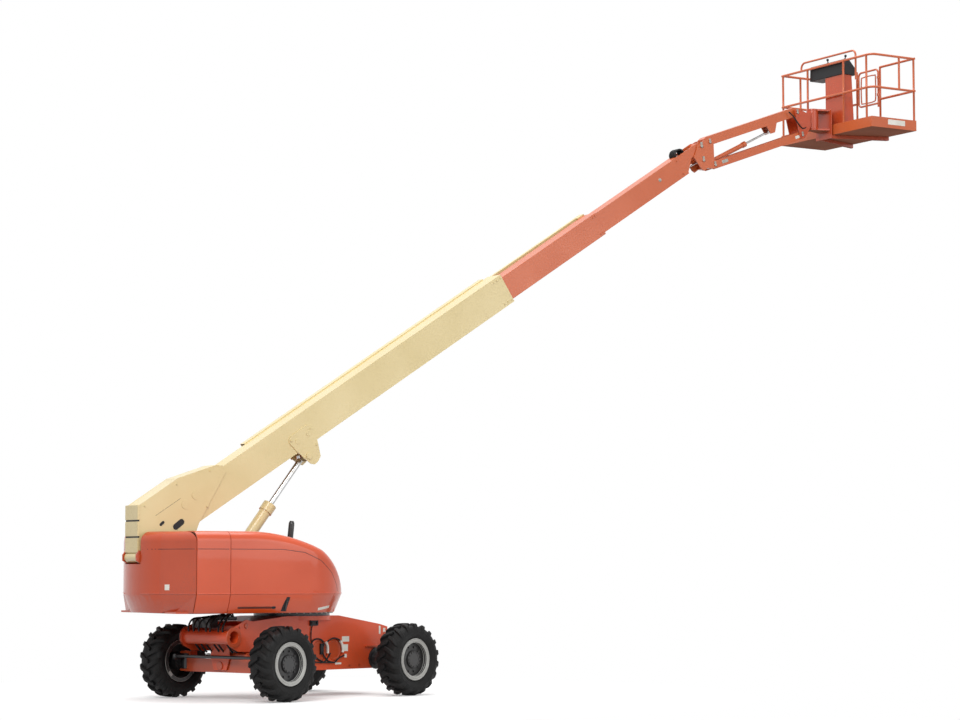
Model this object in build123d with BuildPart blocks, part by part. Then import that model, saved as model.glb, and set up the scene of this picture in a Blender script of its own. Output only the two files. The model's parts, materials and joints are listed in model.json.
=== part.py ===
# Telescopic boom lift with a jib, standing on its wheels with the boom raised.
# Millimetres. +Z is up, the swing axis is Z, and the boom points along +X.
import os
from math import atan2, cos, degrees, hypot, radians, sin

from build123d import *

os.makedirs("parts", exist_ok=True)

# Chassis: u runs from the steered axle to the fixed one, v across, turned about the swing axis
chassis_turn = 18.3
wheelbase = 2480.0
track_width = 2115.0
frame_half_width = 450.0
frame_plate = 16.0
frame_bottom = 370.0
frame_top = 1120.0
service_hole_radius = 150.0
service_holes = (110.0, 400.0)
service_hole_height = 640.0
cross_tube_radius = 95.0
cross_tube_u = -1560.0
cross_tube_height = 850.0

# Wheels
tyre_radius = 505.0
lug_height = 34.0
tyre_width = 380.0
rim_radius = 250.0
rim_flange_radius = 290.0
rim_half_width = 150.0
hub_radius = 118.0
spindle_radius = 62.0
run_gap = 0.3

# Steered axle
beam_half_depth = 110.0
beam_bottom = 370.0
beam_top = 550.0
kingpin_v = 800.0
kingpin_radius = 28.0
steer_arm = 220.0
steer_arm_height = (528.0, 553.0)
tie_rod_height = 580.0
tie_rod_radius = 21.0

# Turntable
bearing_radius = 530.0
bearing_bore = 400.0
deck_bottom = 1172.3
deck_thickness = 25.0
cowl_half_width = 1200.0
skirt_bottom = 1180.0
belt_height = 1430.0
skirt_slope = 21.8
roof_height = 2270.0
roof_round = 140.0
cowl_inner = 345.3
cowl_wall = 18.0
seam_gap = 6.0
tail_seam = -2020.0
hood_seam = -1525.0
tail_reach = 2440.0
tail_corner = (-2260.0, 600.0)
nose_start = -321.0
nose_reach = 800.0
tail_channel_half = 255.0
hood_pin_radius = 9.0

# Boom: lengths run from the lift pivot along the boom, heights square to it
boom_angle = 33.0
boom_pivot = (-2380.0, 1920.0)
boom_wall = 8.0
base_end = 7040.0
base_box = (-66.0, 386.0, 180.0)
mid_span = (2630.0, 9030.0)
mid_box = (-32.0, 331.0, 150.0)
fly_span = (4820.0, 10920.0)
fly_box = (-10.0, 312.0, 120.0)
pad_length = 180.0
cheek_plate = 12.0
lug_pin = (2906.0, -190.0)
lug_pin_radius = 30.0
pivot_barrel_radius = 70.0
pivot_pin_radius = 45.0

# Lift cylinder, held at the turntable and at the boom's lug plates
lift_base = (-1300.0, 1383.0)
lift_barrel_radius = 82.0
lift_barrel_length = 1595.0
lift_rod_radius = 40.0
lift_rod_length = 1680.0
lift_pin_radius = 35.0
upright_inner = 210.0
upright_plate = 25.0

# Jib: a parallelogram of two arms between a levelled bracket and the end link
jib_angle = 19.7
jib_length = 1830.0
jib_pivot = (fly_span[1] + 425.0, 237.0)
arm_pin = (163.0, 78.0)
link_pin = (262.0, -272.0)
level_pin = (40.0, -215.0)
upper_arm_span = (-52.0, 93.0)
upper_arm_half = 78.0
lower_arm_depth = 120.0
lower_bar = (97.0, 112.0)
bracket_plate = (118.0, 133.0)
nose_cheek = (96.0, 112.5)
jib_cylinder_base = (194.0, -243.0)
jib_cylinder_eye = (1291.0, -145.0)
jib_barrel_length = 838.0
jib_barrel_radius = 38.0
jib_rod_radius = 17.0

# Platform
rotator_reach = 408.5
floor_drop = 302.6
rotator_radius = 95.0
platform_gap = 266.0
platform_depth = 910.0
platform_length = 2300.0
toe_height = 166.0
sheet = 5.0
rail_radius = 19.0
post_radius = 17.5
top_rail = 1160.0
mid_rail = 640.0
gate_post_y = -305.0
gate_width = 560.0

# Working planes. On each upright side plane x runs along the piece, y up, and the normal is -Y
chassis_top = Plane(
    origin=(0, 0, 0),
    x_dir=(cos(radians(chassis_turn)), sin(radians(chassis_turn)), 0),
    z_dir=(0, 0, 1),
)


def chassis_level(height):
    return chassis_top.offset(height)


def chassis_side(v):
    corner = chassis_top.from_local_coords(Vector(0, v, 0))
    return Plane(origin=corner, x_dir=chassis_top.x_dir, z_dir=-chassis_top.y_dir)


def chassis_end(u):
    corner = chassis_top.from_local_coords(Vector(u, 0, 0))
    return Plane(origin=corner, x_dir=chassis_top.y_dir, z_dir=chassis_top.x_dir)


def tilted_side(start, angle):
    return Plane(
        origin=(start[0], 0, start[1]),
        x_dir=(cos(radians(angle)), 0, sin(radians(angle))),
        z_dir=(0, -1, 0),
    )


def along(start, angle, length, rise=0.0):
    # The XZ point at a length along a tilted line and a rise square to it
    turn = radians(angle)
    return (
        start[0] + length * cos(turn) - rise * sin(turn),
        start[1] + length * sin(turn) + rise * cos(turn),
    )


def tube_section(start, angle, distance):
    # The plane square to a tilted line at a distance along it
    spot = along(start, angle, distance)
    return Plane(
        origin=(spot[0], 0, spot[1]),
        x_dir=(0, 1, 0),
        z_dir=(cos(radians(angle)), 0, sin(radians(angle))),
    )


def plus(point, step):
    return (point[0] + step[0], point[1] + step[1])


boom_side = tilted_side(boom_pivot, boom_angle)
jib_root = along(boom_pivot, boom_angle, *jib_pivot)
arm_root = plus(jib_root, arm_pin)
link_root = plus(jib_root, link_pin)
arm_tip = along(arm_root, jib_angle, jib_length)
link_tip = along(link_root, jib_angle, jib_length)
rotator_x = arm_tip[0] + rotator_reach
platform_x = rotator_x + platform_gap
platform_floor = arm_tip[1] - floor_drop
jib_side = tilted_side(arm_root, jib_angle)
link_side = tilted_side(link_root, jib_angle)


# Shapes used inside the sub-parts' blocks
def plate(plane, outline, near, far, mode=Mode.ADD):
    # A flat outline, filled from one offset of its plane to another
    with BuildSketch(plane.offset(near)) as face:
        with BuildLine():
            Polyline(*outline, close=True)
        make_face()
    extrude(face.sketch, amount=far - near, mode=mode)


def twin_plates(plane, outline, near, far):
    plate(plane, outline, near, far)
    plate(plane, outline, -far, -near)


def round_bar(plane, centre, radius, near, far, bore=0.0, mode=Mode.ADD):
    with BuildSketch(plane.offset(near)) as face:
        with Locations(centre):
            Circle(radius)
            if bore:
                Circle(bore, mode=Mode.SUBTRACT)
    extrude(face.sketch, amount=far - near, mode=mode)


def twin_bars(plane, centre, radius, near, far, bore=0.0):
    round_bar(plane, centre, radius, near, far, bore)
    round_bar(plane, centre, radius, -far, -near, bore)


def box_tube(span, box, wall, mode=Mode.ADD):
    # A square tube along the boom, from its rear end to its front
    low, high, half = box
    outline = [(span[0], low), (span[1], low), (span[1], high), (span[0], high)]
    inner = [(x, y + (wall if y == low else -wall)) for x, y in outline]
    inner = [(x + (-10 if x == span[0] else 10), y) for x, y in inner]
    plate(boom_side, outline, -half, half, mode=mode)
    plate(boom_side, inner, -half + wall, half - wall, mode=Mode.SUBTRACT)


def slide_pads(span, outer, inner):
    # A frame of wear pads that fills the gap between two sliding tubes
    outline = [(span[0], outer[0]), (span[1], outer[0]), (span[1], outer[1]), (span[0], outer[1])]
    hole = [(span[0] - 1, inner[0]), (span[1] + 1, inner[0]), (span[1] + 1, inner[1]), (span[0] - 1, inner[1])]
    with BuildPart(mode=Mode.PRIVATE) as pads:
        plate(boom_side, outline, -outer[2], outer[2])
        plate(boom_side, hole, -inner[2], inner[2], mode=Mode.SUBTRACT)
    add(pads.part)


def tube_path(points, radius, bend):
    # A bent tube through points, its corners rounded
    with BuildPart(mode=Mode.PRIVATE) as bent:
        with BuildLine() as path:
            if len(points) > 2:
                FilletPolyline(*points, radius=bend)
            else:
                Line(*points)
        with BuildSketch(Plane(origin=path.line @ 0, z_dir=path.line % 0)) as ring:
            Circle(radius)
        sweep(ring.sketch, path=path.line)
    add(bent.part)


def finish(part, label):
    part.label = label
    export_step(part, f"parts/{label}.step")


# Chassis frame: side plates, top and bottom skins, cross tube with its lugs
side_outline = [
    (-1690, 800), (-1620, 730), (-1480, 660), (-800, 640), (-640, frame_bottom), (1430, frame_bottom),
    (1487, 430), (1487, 950), (1317, 990), (480, frame_top), (-560, frame_top), (-1200, 1060),
    (-1330, 1085), (-1430, 1040), (-1640, 955), (-1690, 900),
]
bearing_seat_radius = bearing_radius + 25
axle_brackets = (-1110.0, -1360.0)
axle_pivot = (0.0, (beam_bottom + beam_top) / 2)
axle_pivot_radius = 55.0
rear_axle_radius = 95.0
with BuildPart() as chassis_frame:
    for v in (-frame_half_width, frame_half_width - frame_plate):
        plate(chassis_side(v), side_outline, -frame_plate, 0)
    top_skin = [
        (1487, 950), (1317, 990), (480, frame_top), (-560, frame_top), (-1200, 1060),
        (-1200, 1044), (-560, 1104), (480, 1104), (1317, 974), (1487, 934),
    ]
    plate(chassis_side(0), top_skin, -frame_half_width, frame_half_width)
    bottom_skin = [(-700, 470), (-640, frame_bottom), (1430, frame_bottom), (1487, 430), (1487, 454),
                   (1423, 386), (-630, 386), (-685, 476)]
    plate(chassis_side(0), bottom_skin, -frame_half_width, frame_half_width)
    plate(chassis_end(1471), [(-frame_half_width, 430), (frame_half_width, 430),
                              (frame_half_width, 950), (-frame_half_width, 950)], 0, 16)
    for u in axle_brackets:
        plate(chassis_end(u), [(-120, 400), (120, 400), (180, 560), (180, 700), (frame_half_width - 8, 800),
                               (frame_half_width - 8, 1000), (8 - frame_half_width, 1000),
                               (8 - frame_half_width, 800), (-180, 700), (-180, 560)], -15, 0)
    round_bar(chassis_end(-wheelbase / 2), axle_pivot, axle_pivot_radius + run_gap, -200, 200,
              mode=Mode.SUBTRACT)
    round_bar(chassis_top, (0, 0), bearing_seat_radius, frame_top - 60, frame_top)
    round_bar(chassis_top, (0, 0), bearing_bore - 60, frame_top - 200, frame_top + 10, mode=Mode.SUBTRACT)
    round_bar(chassis_side(0), (cross_tube_u, cross_tube_height), cross_tube_radius,
              -frame_half_width, frame_half_width)
    round_bar(chassis_side(0), (cross_tube_u, cross_tube_height), cross_tube_radius - 12,
              -frame_half_width - 5, frame_half_width + 5, mode=Mode.SUBTRACT)
    for u in service_holes:
        round_bar(chassis_side(0), (u, service_hole_height), service_hole_radius,
                  -frame_half_width - 5, frame_half_width + 5, mode=Mode.SUBTRACT)
    round_bar(chassis_side(0), (wheelbase / 2, tyre_radius), rear_axle_radius + run_gap,
              -frame_half_width - 5, frame_half_width + 5, mode=Mode.SUBTRACT)
finish(chassis_frame.part, "chassis_frame")

# Swing bearing: the fixed outer race
with BuildPart() as swing_bearing:
    round_bar(chassis_top, (0, 0), bearing_radius, frame_top, deck_bottom - run_gap, bore=bearing_bore)
finish(swing_bearing.part, "swing_bearing")

# Rear axle: one cross tube with drive flanges and spindles
hub_face = 935.0
with BuildPart() as rear_axle:
    rear_plane = chassis_side(0)
    centre = (wheelbase / 2, tyre_radius)
    round_bar(rear_plane, centre, rear_axle_radius, -hub_face + 60, hub_face - 60)
    twin_bars(rear_plane, centre, 128.0, hub_face - 60, hub_face)
    twin_bars(rear_plane, centre, 150.0, frame_half_width, frame_half_width + 22)
    twin_bars(rear_plane, centre, spindle_radius, hub_face, hub_face + 150)
finish(rear_axle.part, "rear_axle")

# Steered axle: a box beam with a fork at each end for the knuckle
fork_low = (372.0, 400.0)
fork_high = (612.0, 642.0)
knuckle_span = (405.0, 607.0)
steer_u = -1280.0
steer_height = 600.0
steer_barrel_radius = 40.0
steer_rod_radius = 18.0
with BuildPart() as steer_axle:
    beam = [(-680, beam_bottom), (680, beam_bottom), (680, beam_top), (-680, beam_top)]
    plate(chassis_end(-wheelbase / 2), beam, -beam_half_depth, beam_half_depth)
    hollow = [(-660, beam_bottom + 14), (660, beam_bottom + 14), (660, beam_top - 14), (-660, beam_top - 14)]
    plate(chassis_end(-wheelbase / 2), hollow, 14 - beam_half_depth, beam_half_depth - 14, mode=Mode.SUBTRACT)
    for side in (-1, 1):
        fork = [(side * 655, fork_low[0]), (side * 860, fork_low[0]), (side * 860, fork_low[1]),
                (side * 690, fork_low[1]), (side * 690, fork_high[0]), (side * 860, fork_high[0]),
                (side * 860, fork_high[1]), (side * 655, fork_high[1])]
        plate(chassis_end(-wheelbase / 2), fork, -62, 62)
        round_bar(chassis_level(0), (-wheelbase / 2, side * kingpin_v), kingpin_radius,
                  fork_low[0] - 8, fork_high[1] + 8)
    round_bar(chassis_end(-wheelbase / 2), axle_pivot, axle_pivot_radius, -150, 145)
    # The steering cylinder's barrel stands on the beam
    barrel_plane = chassis_side(0)
    round_bar(barrel_plane, (steer_u, steer_height), steer_barrel_radius, -10, 470)
    round_bar(barrel_plane, (steer_u, steer_height), steer_barrel_radius + 5, -30, -10)
    for v in (20, 400):
        plate(barrel_plane, [(steer_u - 30, beam_top - 5), (steer_u + 30, beam_top - 5),
                             (steer_u + 30, steer_height), (steer_u - 30, steer_height)], v, v + 44)
    round_bar(barrel_plane, (steer_u, steer_height), steer_rod_radius + run_gap, -31, 440, mode=Mode.SUBTRACT)
finish(steer_axle.part, "steer_axle")

# Steering rod, its eye above the tie rod's tab
steer_eye_v = 350.0
with BuildPart() as steer_rod:
    round_bar(chassis_side(0), (steer_u, steer_height), steer_rod_radius, -steer_eye_v + 30, 250)
    round_bar(chassis_level(0), (steer_u, steer_eye_v), 34.0, steer_height - 18, steer_height + 20)
finish(steer_rod.part, "steer_rod")

with BuildPart() as tie_rod:
    pin_u = -wheelbase / 2 - steer_arm
    round_bar(chassis_side(0), (pin_u, tie_rod_height), tie_rod_radius, -kingpin_v + 30, kingpin_v - 30)
    for side in (-1, 1):
        round_bar(chassis_level(0), (pin_u, side * kingpin_v), 34.0, tie_rod_height - 22, tie_rod_height + 22,
                  bore=14 + run_gap)
    plate(chassis_level(0), [(pin_u, steer_eye_v - 25), (steer_u + 30, steer_eye_v - 25),
                             (steer_u + 30, steer_eye_v + 25), (pin_u, steer_eye_v + 25)],
          tie_rod_height - 20, tie_rod_height - 5)
finish(tie_rod.part, "tie_rod")

# Knuckles: each turns on its kingpin and carries a drive housing and a spindle
for name, side in (("knuckle_right", -1), ("knuckle_left", 1)):
    with BuildPart() as knuckle:
        centre = (-wheelbase / 2, side * kingpin_v)
        round_bar(chassis_level(0), centre, 66.0, *knuckle_span)
        axle_plane = chassis_side(0)
        hub_spot = (-wheelbase / 2, tyre_radius)
        near = -side * kingpin_v
        far = -side * hub_face
        round_bar(axle_plane, hub_spot, 100.0, near - side * 20, far + side * 50)
        round_bar(axle_plane, hub_spot, 128.0, far + side * 50, far)
        round_bar(axle_plane, hub_spot, spindle_radius, far, far - side * 150)
        arm_end = -wheelbase / 2 - steer_arm - 24
        arm = [(-wheelbase / 2, side * kingpin_v - 24), (-wheelbase / 2, side * kingpin_v + 24),
               (arm_end, side * kingpin_v + 24), (arm_end, side * kingpin_v - 24)]
        plate(chassis_level(0), arm, *steer_arm_height)
        round_bar(chassis_level(0), (-wheelbase / 2 - steer_arm, side * kingpin_v), 14.0,
                  steer_arm_height[0], tie_rod_height + 28)
        round_bar(chassis_level(0), centre, 72.0, *fork_high, mode=Mode.SUBTRACT)
        round_bar(chassis_level(0), centre, kingpin_radius + run_gap, 300, 700, mode=Mode.SUBTRACT)
    finish(knuckle.part, name)

# Wheels: u, v and which way the outer face looks
wheels = (
    ("front_right", -1, -1),
    ("front_left", -1, 1),
    ("rear_right", 1, -1),
    ("rear_left", 1, 1),
)
tread_radius = tyre_radius - lug_height
half_tyre = tyre_width / 2


def wheel_plane(u_side, v_side):
    spot = Vector(u_side * wheelbase / 2, v_side * track_width / 2, tyre_radius)
    return Plane(
        origin=chassis_top.from_local_coords(spot),
        x_dir=chassis_top.x_dir,
        z_dir=chassis_top.y_dir * v_side,
    )


tyre_section = [
    (rim_radius + run_gap, -134), (rim_flange_radius + 2, -134), (rim_flange_radius + 14, -152),
    (370, -half_tyre), (430, 6 - half_tyre), (tyre_radius - 18, 22 - half_tyre), (tyre_radius, 60 - half_tyre),
]
tyre_section = tyre_section + [(r, -w) for r, w in reversed(tyre_section)]
rim_section = [
    (rim_radius - 14, -rim_half_width), (rim_flange_radius, -rim_half_width), (rim_flange_radius, -136),
    (rim_radius, -134.5), (rim_radius, 134.5), (rim_flange_radius, 136), (rim_flange_radius, rim_half_width),
    (rim_radius - 14, rim_half_width), (rim_radius - 14, 70), (hub_radius + 30, 70), (hub_radius, 84),
    (hub_radius, 118), (hub_radius - 22, 132), (0, 132), (0, 36), (spindle_radius + run_gap, 36),
    (spindle_radius + run_gap, -110), (hub_radius, -110), (hub_radius, 58), (rim_radius - 14, 58),
]
for name, u_side, v_side in wheels:
    plane = wheel_plane(u_side, v_side)
    axis = Axis(origin=plane.origin, direction=plane.z_dir)
    section_plane = Plane(origin=plane.origin, x_dir=plane.x_dir, z_dir=plane.z_dir.cross(plane.x_dir) * -1)
    for kind, section in (("tyre", tyre_section), ("rim", rim_section)):
        with BuildPart() as turned:
            with BuildSketch(section_plane) as face:
                with BuildLine():
                    Polyline(*[(r, w) for r, w in section], close=True)
                make_face()
            revolve(face.sketch, axis=axis)
        finish(turned.part, f"{kind}_{name}")

# Turntable: deck, uprights for the boom pivot and the lift cylinder, bulkheads for the hoods
deck_top = deck_bottom + deck_thickness
bulkhead_outline = [
    (tail_seam + 10, deck_top - 5), (235, deck_top - 5), (330, 1450), (215, 1720), (60, 1880), (-95, 1990),
    (-400, 2100), (-800, 2190), (-1250, 2240), (tail_seam + 10, 2240),
]
tail_slot = [(-2205, 1200), (-2310, 1640), (-2412, 1832)]
with BuildPart() as turntable_base:
    deck = [(-2180, -900), (-1980, -1040), (-150, -1000), (120, -800), (240, -345), (240, 345), (120, 800),
            (-150, 1000), (-1980, 1040), (-2180, 900)]
    plate(Plane.XY, deck, deck_bottom, deck_top)
    round_bar(Plane.XY, (0, 0), bearing_bore - 4, frame_top + 12, deck_bottom, bore=300)
    round_bar(Plane.XY, (0, 0), 300, deck_bottom - 5, deck_top + 5, mode=Mode.SUBTRACT)
    rear_edge = [(x + 14, z + 2) for x, z in tail_slot]
    upright = rear_edge + [(-2465, 1880), (-2465, 1960), (-2420, 2015), (-2320, 2015), (-1600, 1780),
                           (-1150, 1500), (-760, deck_top - 5), (-2180, deck_top - 5)]
    twin_plates(Plane.XZ, upright, upright_inner, upright_inner + upright_plate)
    twin_plates(Plane.XZ, bulkhead_outline, cowl_inner - 10.3, cowl_inner - run_gap)
    for side in (-1, 1):
        # A rib carries each side panel
        rib = [(340, deck_top - 7), (1086, deck_top - 7), (1182, belt_height), (1182, 2130), (1060, 2252), (340, 2252)]
        plate(Plane.YZ, [(side * y, z) for y, z in rib], -1800, -1790)
        # A short hinge bar carries each hood
        hinge_web = [(hood_seam + 25, 2235), (hood_seam + 175, 2235), (hood_seam + 175, 2262), (hood_seam + 25, 2262)]
        plate(Plane.XZ.offset(-side * (cowl_inner - 5.3)), hinge_web, -5, 5)
        round_bar(Plane.YZ, (side * cowl_inner, roof_height), hood_pin_radius, hood_seam + 25, hood_seam + 175)
    twin_bars(Plane.XZ, lift_base, 62.0, 90, upright_inner + 5)
    round_bar(Plane.XZ, boom_pivot, pivot_pin_radius, -245, 245)
    twin_bars(Plane.XZ, lift_base, lift_pin_radius, 90, 245)
finish(turntable_base.part, "turntable_base")


# Cowls: a plan with a sloped skirt, cut to the side profile, its roof edge rounded
def cowl_block(plan_outline, profile_outline, inset, over):
    with BuildPart(mode=Mode.PRIVATE) as block:
        cowl_walls(plan_outline(inset), 40)
        extrude(profile_outline(inset, over), amount=2000, mode=Mode.INTERSECT)
    return block.part


def cowl_walls(face, over):
    extrude(face, amount=1200)
    extrude(face, amount=skirt_bottom - belt_height - over, taper=skirt_slope)


def hood_plan(inset):
    half = cowl_half_width - inset
    with BuildSketch(Plane.XY.offset(belt_height)) as plan:
        with BuildLine():
            side = Line((hood_seam - 300, -half), (nose_start, -half))
            nose = EllipticalCenterArc((nose_start, -cowl_inner), nose_reach - inset, half - cowl_inner,
                                       start_angle=270, arc_size=90)
            Polyline(nose @ 1, (nose_start + nose_reach - inset, 0), (hood_seam - 300, 0), side @ 0)
        make_face()
    return plan.sketch


def hood_profile(inset, over):
    top = roof_height - inset
    rear = hood_seam + seam_gap / 2 - over
    low = skirt_bottom - over
    with BuildSketch(Plane.XZ.offset(cowl_inner - over)) as profile:
        with BuildLine():
            Polyline((rear, low), (rear, top), (-1250, top))
            brow = ThreePointArc((-1250, top), (-700, 2222 - inset), (-95 - inset * 0.3, 2030 - inset))
            nose = ThreePointArc(brow @ 1, (230 - inset, 1720 - inset * 0.4), (400 - inset, 1400))
            Polyline(nose @ 1, (300 - inset, low), (rear, low))
        make_face()
    return profile.sketch


def panel_plan(inset):
    half = cowl_half_width - inset
    with BuildSketch(Plane.XY.offset(belt_height)) as plan:
        with Locations(((tail_seam + hood_seam) / 2, -half / 2)):
            Rectangle(hood_seam - tail_seam + 600, half)
    return plan.sketch


def panel_profile(inset, over):
    rear = tail_seam + seam_gap / 2 - over
    front = hood_seam - seam_gap / 2 + over
    with BuildSketch(Plane.XZ.offset(cowl_inner - over)) as profile:
        with BuildLine():
            Polyline((rear, skirt_bottom - over), (front, skirt_bottom - over), (front, roof_height - inset),
                     (rear, roof_height - inset), close=True)
        make_face()
    return profile.sketch


def roof_edges(part):
    # The long edges between the roof and the outer wall
    return [
        edge for edge in part.edges()
        if edge.bounding_box().min.Z > belt_height - 40
        and edge.bounding_box().max.Z > 1700
        and edge.bounding_box().max.Y < -cowl_inner - 20
        and edge.bounding_box().size.X > 20
    ]


def rounded_cowl(plan_outline, profile_outline, inset, over):
    with BuildPart(mode=Mode.PRIVATE) as block:
        add(cowl_block(plan_outline, profile_outline, inset, over))
        fillet(roof_edges(block.part), radius=roof_round - inset)
    return block.part


def cowl_shell(plan_outline, profile_outline):
    with BuildPart(mode=Mode.PRIVATE) as shell:
        add(rounded_cowl(plan_outline, profile_outline, 0, 0))
        add(rounded_cowl(plan_outline, profile_outline, cowl_wall, 30), mode=Mode.SUBTRACT)
    return shell.part


hood_shell = cowl_shell(hood_plan, hood_profile)
panel_shell = cowl_shell(panel_plan, panel_profile)
with BuildPart() as hood_right:
    add(hood_shell)
    round_bar(Plane.YZ, (-cowl_inner, roof_height), hood_pin_radius + run_gap, hood_seam + 20, hood_seam + 180,
              mode=Mode.SUBTRACT)
finish(hood_right.part, "hood_right")
with BuildPart() as hood_left:
    add(mirror(hood_right.part, about=Plane.XZ, mode=Mode.PRIVATE))
finish(hood_left.part, "hood_left")
with BuildPart() as side_panels:
    add(panel_shell)
    add(mirror(panel_shell, about=Plane.XZ, mode=Mode.PRIVATE))
finish(side_panels.part, "side_panels")

# Counterweight: the cast tail, with a channel down its middle for the boom
with BuildPart() as counterweight:
    with BuildSketch(Plane.XY.offset(belt_height)) as plan:
        with BuildLine():
            Polyline((tail_corner[0], tail_corner[1]), (tail_seam, cowl_half_width),
                     (tail_seam + 300, cowl_half_width), (tail_seam + 300, -cowl_half_width),
                     (tail_seam, -cowl_half_width), (tail_corner[0], -tail_corner[1]))
            ThreePointArc((tail_corner[0], -tail_corner[1]), (-tail_reach, 0), (tail_corner[0], tail_corner[1]))
        make_face()
    cowl_walls(plan.sketch, 0)
    plate(Plane.XZ, [(-2600, skirt_bottom), (tail_seam - seam_gap / 2, skirt_bottom),
                     (tail_seam - seam_gap / 2, roof_height), (-2600, roof_height)], -1300, 1300,
          mode=Mode.INTERSECT)
    fillet([edge for edge in counterweight.part.edges()
            if edge.bounding_box().min.Z > roof_height - 1 and edge.bounding_box().min.X < tail_seam - 50
            and edge.bounding_box().max.X < tail_seam + 10
            and not (edge.bounding_box().size.X < 1)], radius=roof_round)
    channel = [(-2600, 1832), *reversed(tail_slot), (-2205, 1100), (tail_seam + 10, 1100), (tail_seam + 10, 2400),
               (-2600, 2400)]
    plate(Plane.XZ, channel, -tail_channel_half, tail_channel_half, mode=Mode.SUBTRACT)
    plate(Plane.XZ, [(-2195, skirt_bottom - 5), (tail_seam + 10, skirt_bottom - 5), (tail_seam + 10, deck_top),
                     (-2195, deck_top)], -1060, 1060, mode=Mode.SUBTRACT)
finish(counterweight.part, "counterweight")

# Engine, tanks and exhaust on the deck
with BuildPart() as engine_block:
    plate(Plane.XZ, [(-1250, deck_top), (-350, deck_top), (-350, 1750), (-500, 1850), (-1150, 1850), (-1250, 1750)],
          480, 930)
finish(engine_block.part, "engine_block")

with BuildPart() as tank_block:
    plate(Plane.XZ, [(-1400, deck_top), (-500, deck_top), (-500, 1700), (-1400, 1700)], -960, -480)
    plate(Plane.XZ, [(-430, deck_top), (-60, deck_top), (-60, 1520), (-430, 1620)], -900, -520)
finish(tank_block.part, "tank_block")

exhaust_x = -180.0
with BuildPart() as exhaust_pipe:
    tube_path([(exhaust_x, -282, deck_top), (exhaust_x, -282, 2130), (exhaust_x + 30, -282, 2430)], 30.0, 200.0)
finish(exhaust_pipe.part, "exhaust_pipe")

# Lift cylinder
lug_spot = along(boom_pivot, boom_angle, *lug_pin)
lift_angle = degrees(atan2(lug_spot[1] - lift_base[1], lug_spot[0] - lift_base[0]))
lift_reach = hypot(lug_spot[0] - lift_base[0], lug_spot[1] - lift_base[1])
lift_side = tilted_side(lift_base, lift_angle)


def lift_section(distance):
    return tube_section(lift_base, lift_angle, distance)


with BuildPart() as lift_barrel:
    round_bar(lift_section(100), (0, 0), lift_barrel_radius, 0, lift_barrel_length - 230)
    round_bar(lift_section(100), (0, 0), lift_barrel_radius + 16, lift_barrel_length - 230,
              lift_barrel_length - 100)
    plate(lift_side, [(0, -60), (140, -60), (140, 60), (0, 60)], -60, 60)
    round_bar(lift_side, (0, 0), 78.0, -68, 68)
    round_bar(lift_side, (0, 0), lift_pin_radius + run_gap, -70, 70, mode=Mode.SUBTRACT)
    round_bar(lift_section(100), (0, 0), lift_rod_radius + run_gap, 10, lift_barrel_length, mode=Mode.SUBTRACT)
finish(lift_barrel.part, "lift_barrel")

with BuildPart() as lift_rod:
    round_bar(lift_section(lift_reach - lift_rod_length), (0, 0), lift_rod_radius, 0, lift_rod_length - 50)
    round_bar(lift_side, (lift_reach, 0), 72.0, -50, 50)
    round_bar(lift_side, (lift_reach, 0), lug_pin_radius, -51, 51, mode=Mode.SUBTRACT)
finish(lift_rod.part, "lift_rod")

# Base boom: box, tail plates with their hump, lug plates, front wear pads
base_low, base_high, base_half = base_box
tail_plate = [
    (16, 61), (364, 606), (1040, 610), (1620, 460), (1700, 400), (1700, 300), (973, -77), (886, -144),
    (40, -72), (-60, -40), (-72, 10),
]
lug_plate = [
    (2740, 120), (2770, 175), (2830, 192), (3110, 192), (3166, 150), (3144, -59), (3062, -290), (2990, -330),
    (2922, -339), (2871, -298), (2784, -61),
]
with BuildPart() as base_boom:
    box_tube((560, base_end), base_box, boom_wall)
    twin_plates(boom_side, tail_plate, base_half, base_half + cheek_plate)
    plate(boom_side, [(358, 603), (1040, 610), (1620, 460), (1700, 400), (1690, 388), (1615, 446), (1038, 596),
                      (372, 592)], -base_half, base_half)
    plate(boom_side, [(16, 61), (364, 606), (352, 614), (2, 70)], -base_half - 20, base_half + 20)
    plate(boom_side, [(565, base_low), (565, base_low + 7), (550, base_low + 12), (60, -20), (60, -50),
                      (550, base_low)], -base_half, base_half)
    twin_plates(boom_side, lug_plate, base_half, base_half + cheek_plate)
    twin_bars(boom_side, lug_pin, 45.0, base_half + cheek_plate, base_half + cheek_plate + 14)
    round_bar(boom_side, lug_pin, lug_pin_radius - run_gap, -base_half - cheek_plate, base_half + cheek_plate)
    for spot in ((2867, 74), (3075, 79), (941, 249), (1143, 274)):
        twin_bars(boom_side, spot, 40.0 if spot[0] > 2000 else 62.0, base_half, base_half + cheek_plate + 5)
    round_bar(boom_side, (0, 0), pivot_barrel_radius, -base_half - cheek_plate, base_half + cheek_plate)
    round_bar(boom_side, (0, 0), pivot_pin_radius + run_gap, -300, 300, mode=Mode.SUBTRACT)
    slide_pads((base_end - 20 - pad_length, base_end - 20),
               (base_low + boom_wall, base_high - boom_wall, base_half - boom_wall),
               (mid_box[0] - run_gap, mid_box[1] + run_gap, mid_box[2] + run_gap))
    # Hose tray on the far side
    plate(boom_side, [(2300, 200), (6950, 200), (6950, 400), (2300, 400)], -300, -base_half)
    plate(boom_side, [(2290, 205), (6960, 205), (6960, 395), (2290, 395)], -295, -185, mode=Mode.SUBTRACT)
finish(base_boom.part, "base_boom")

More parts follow.
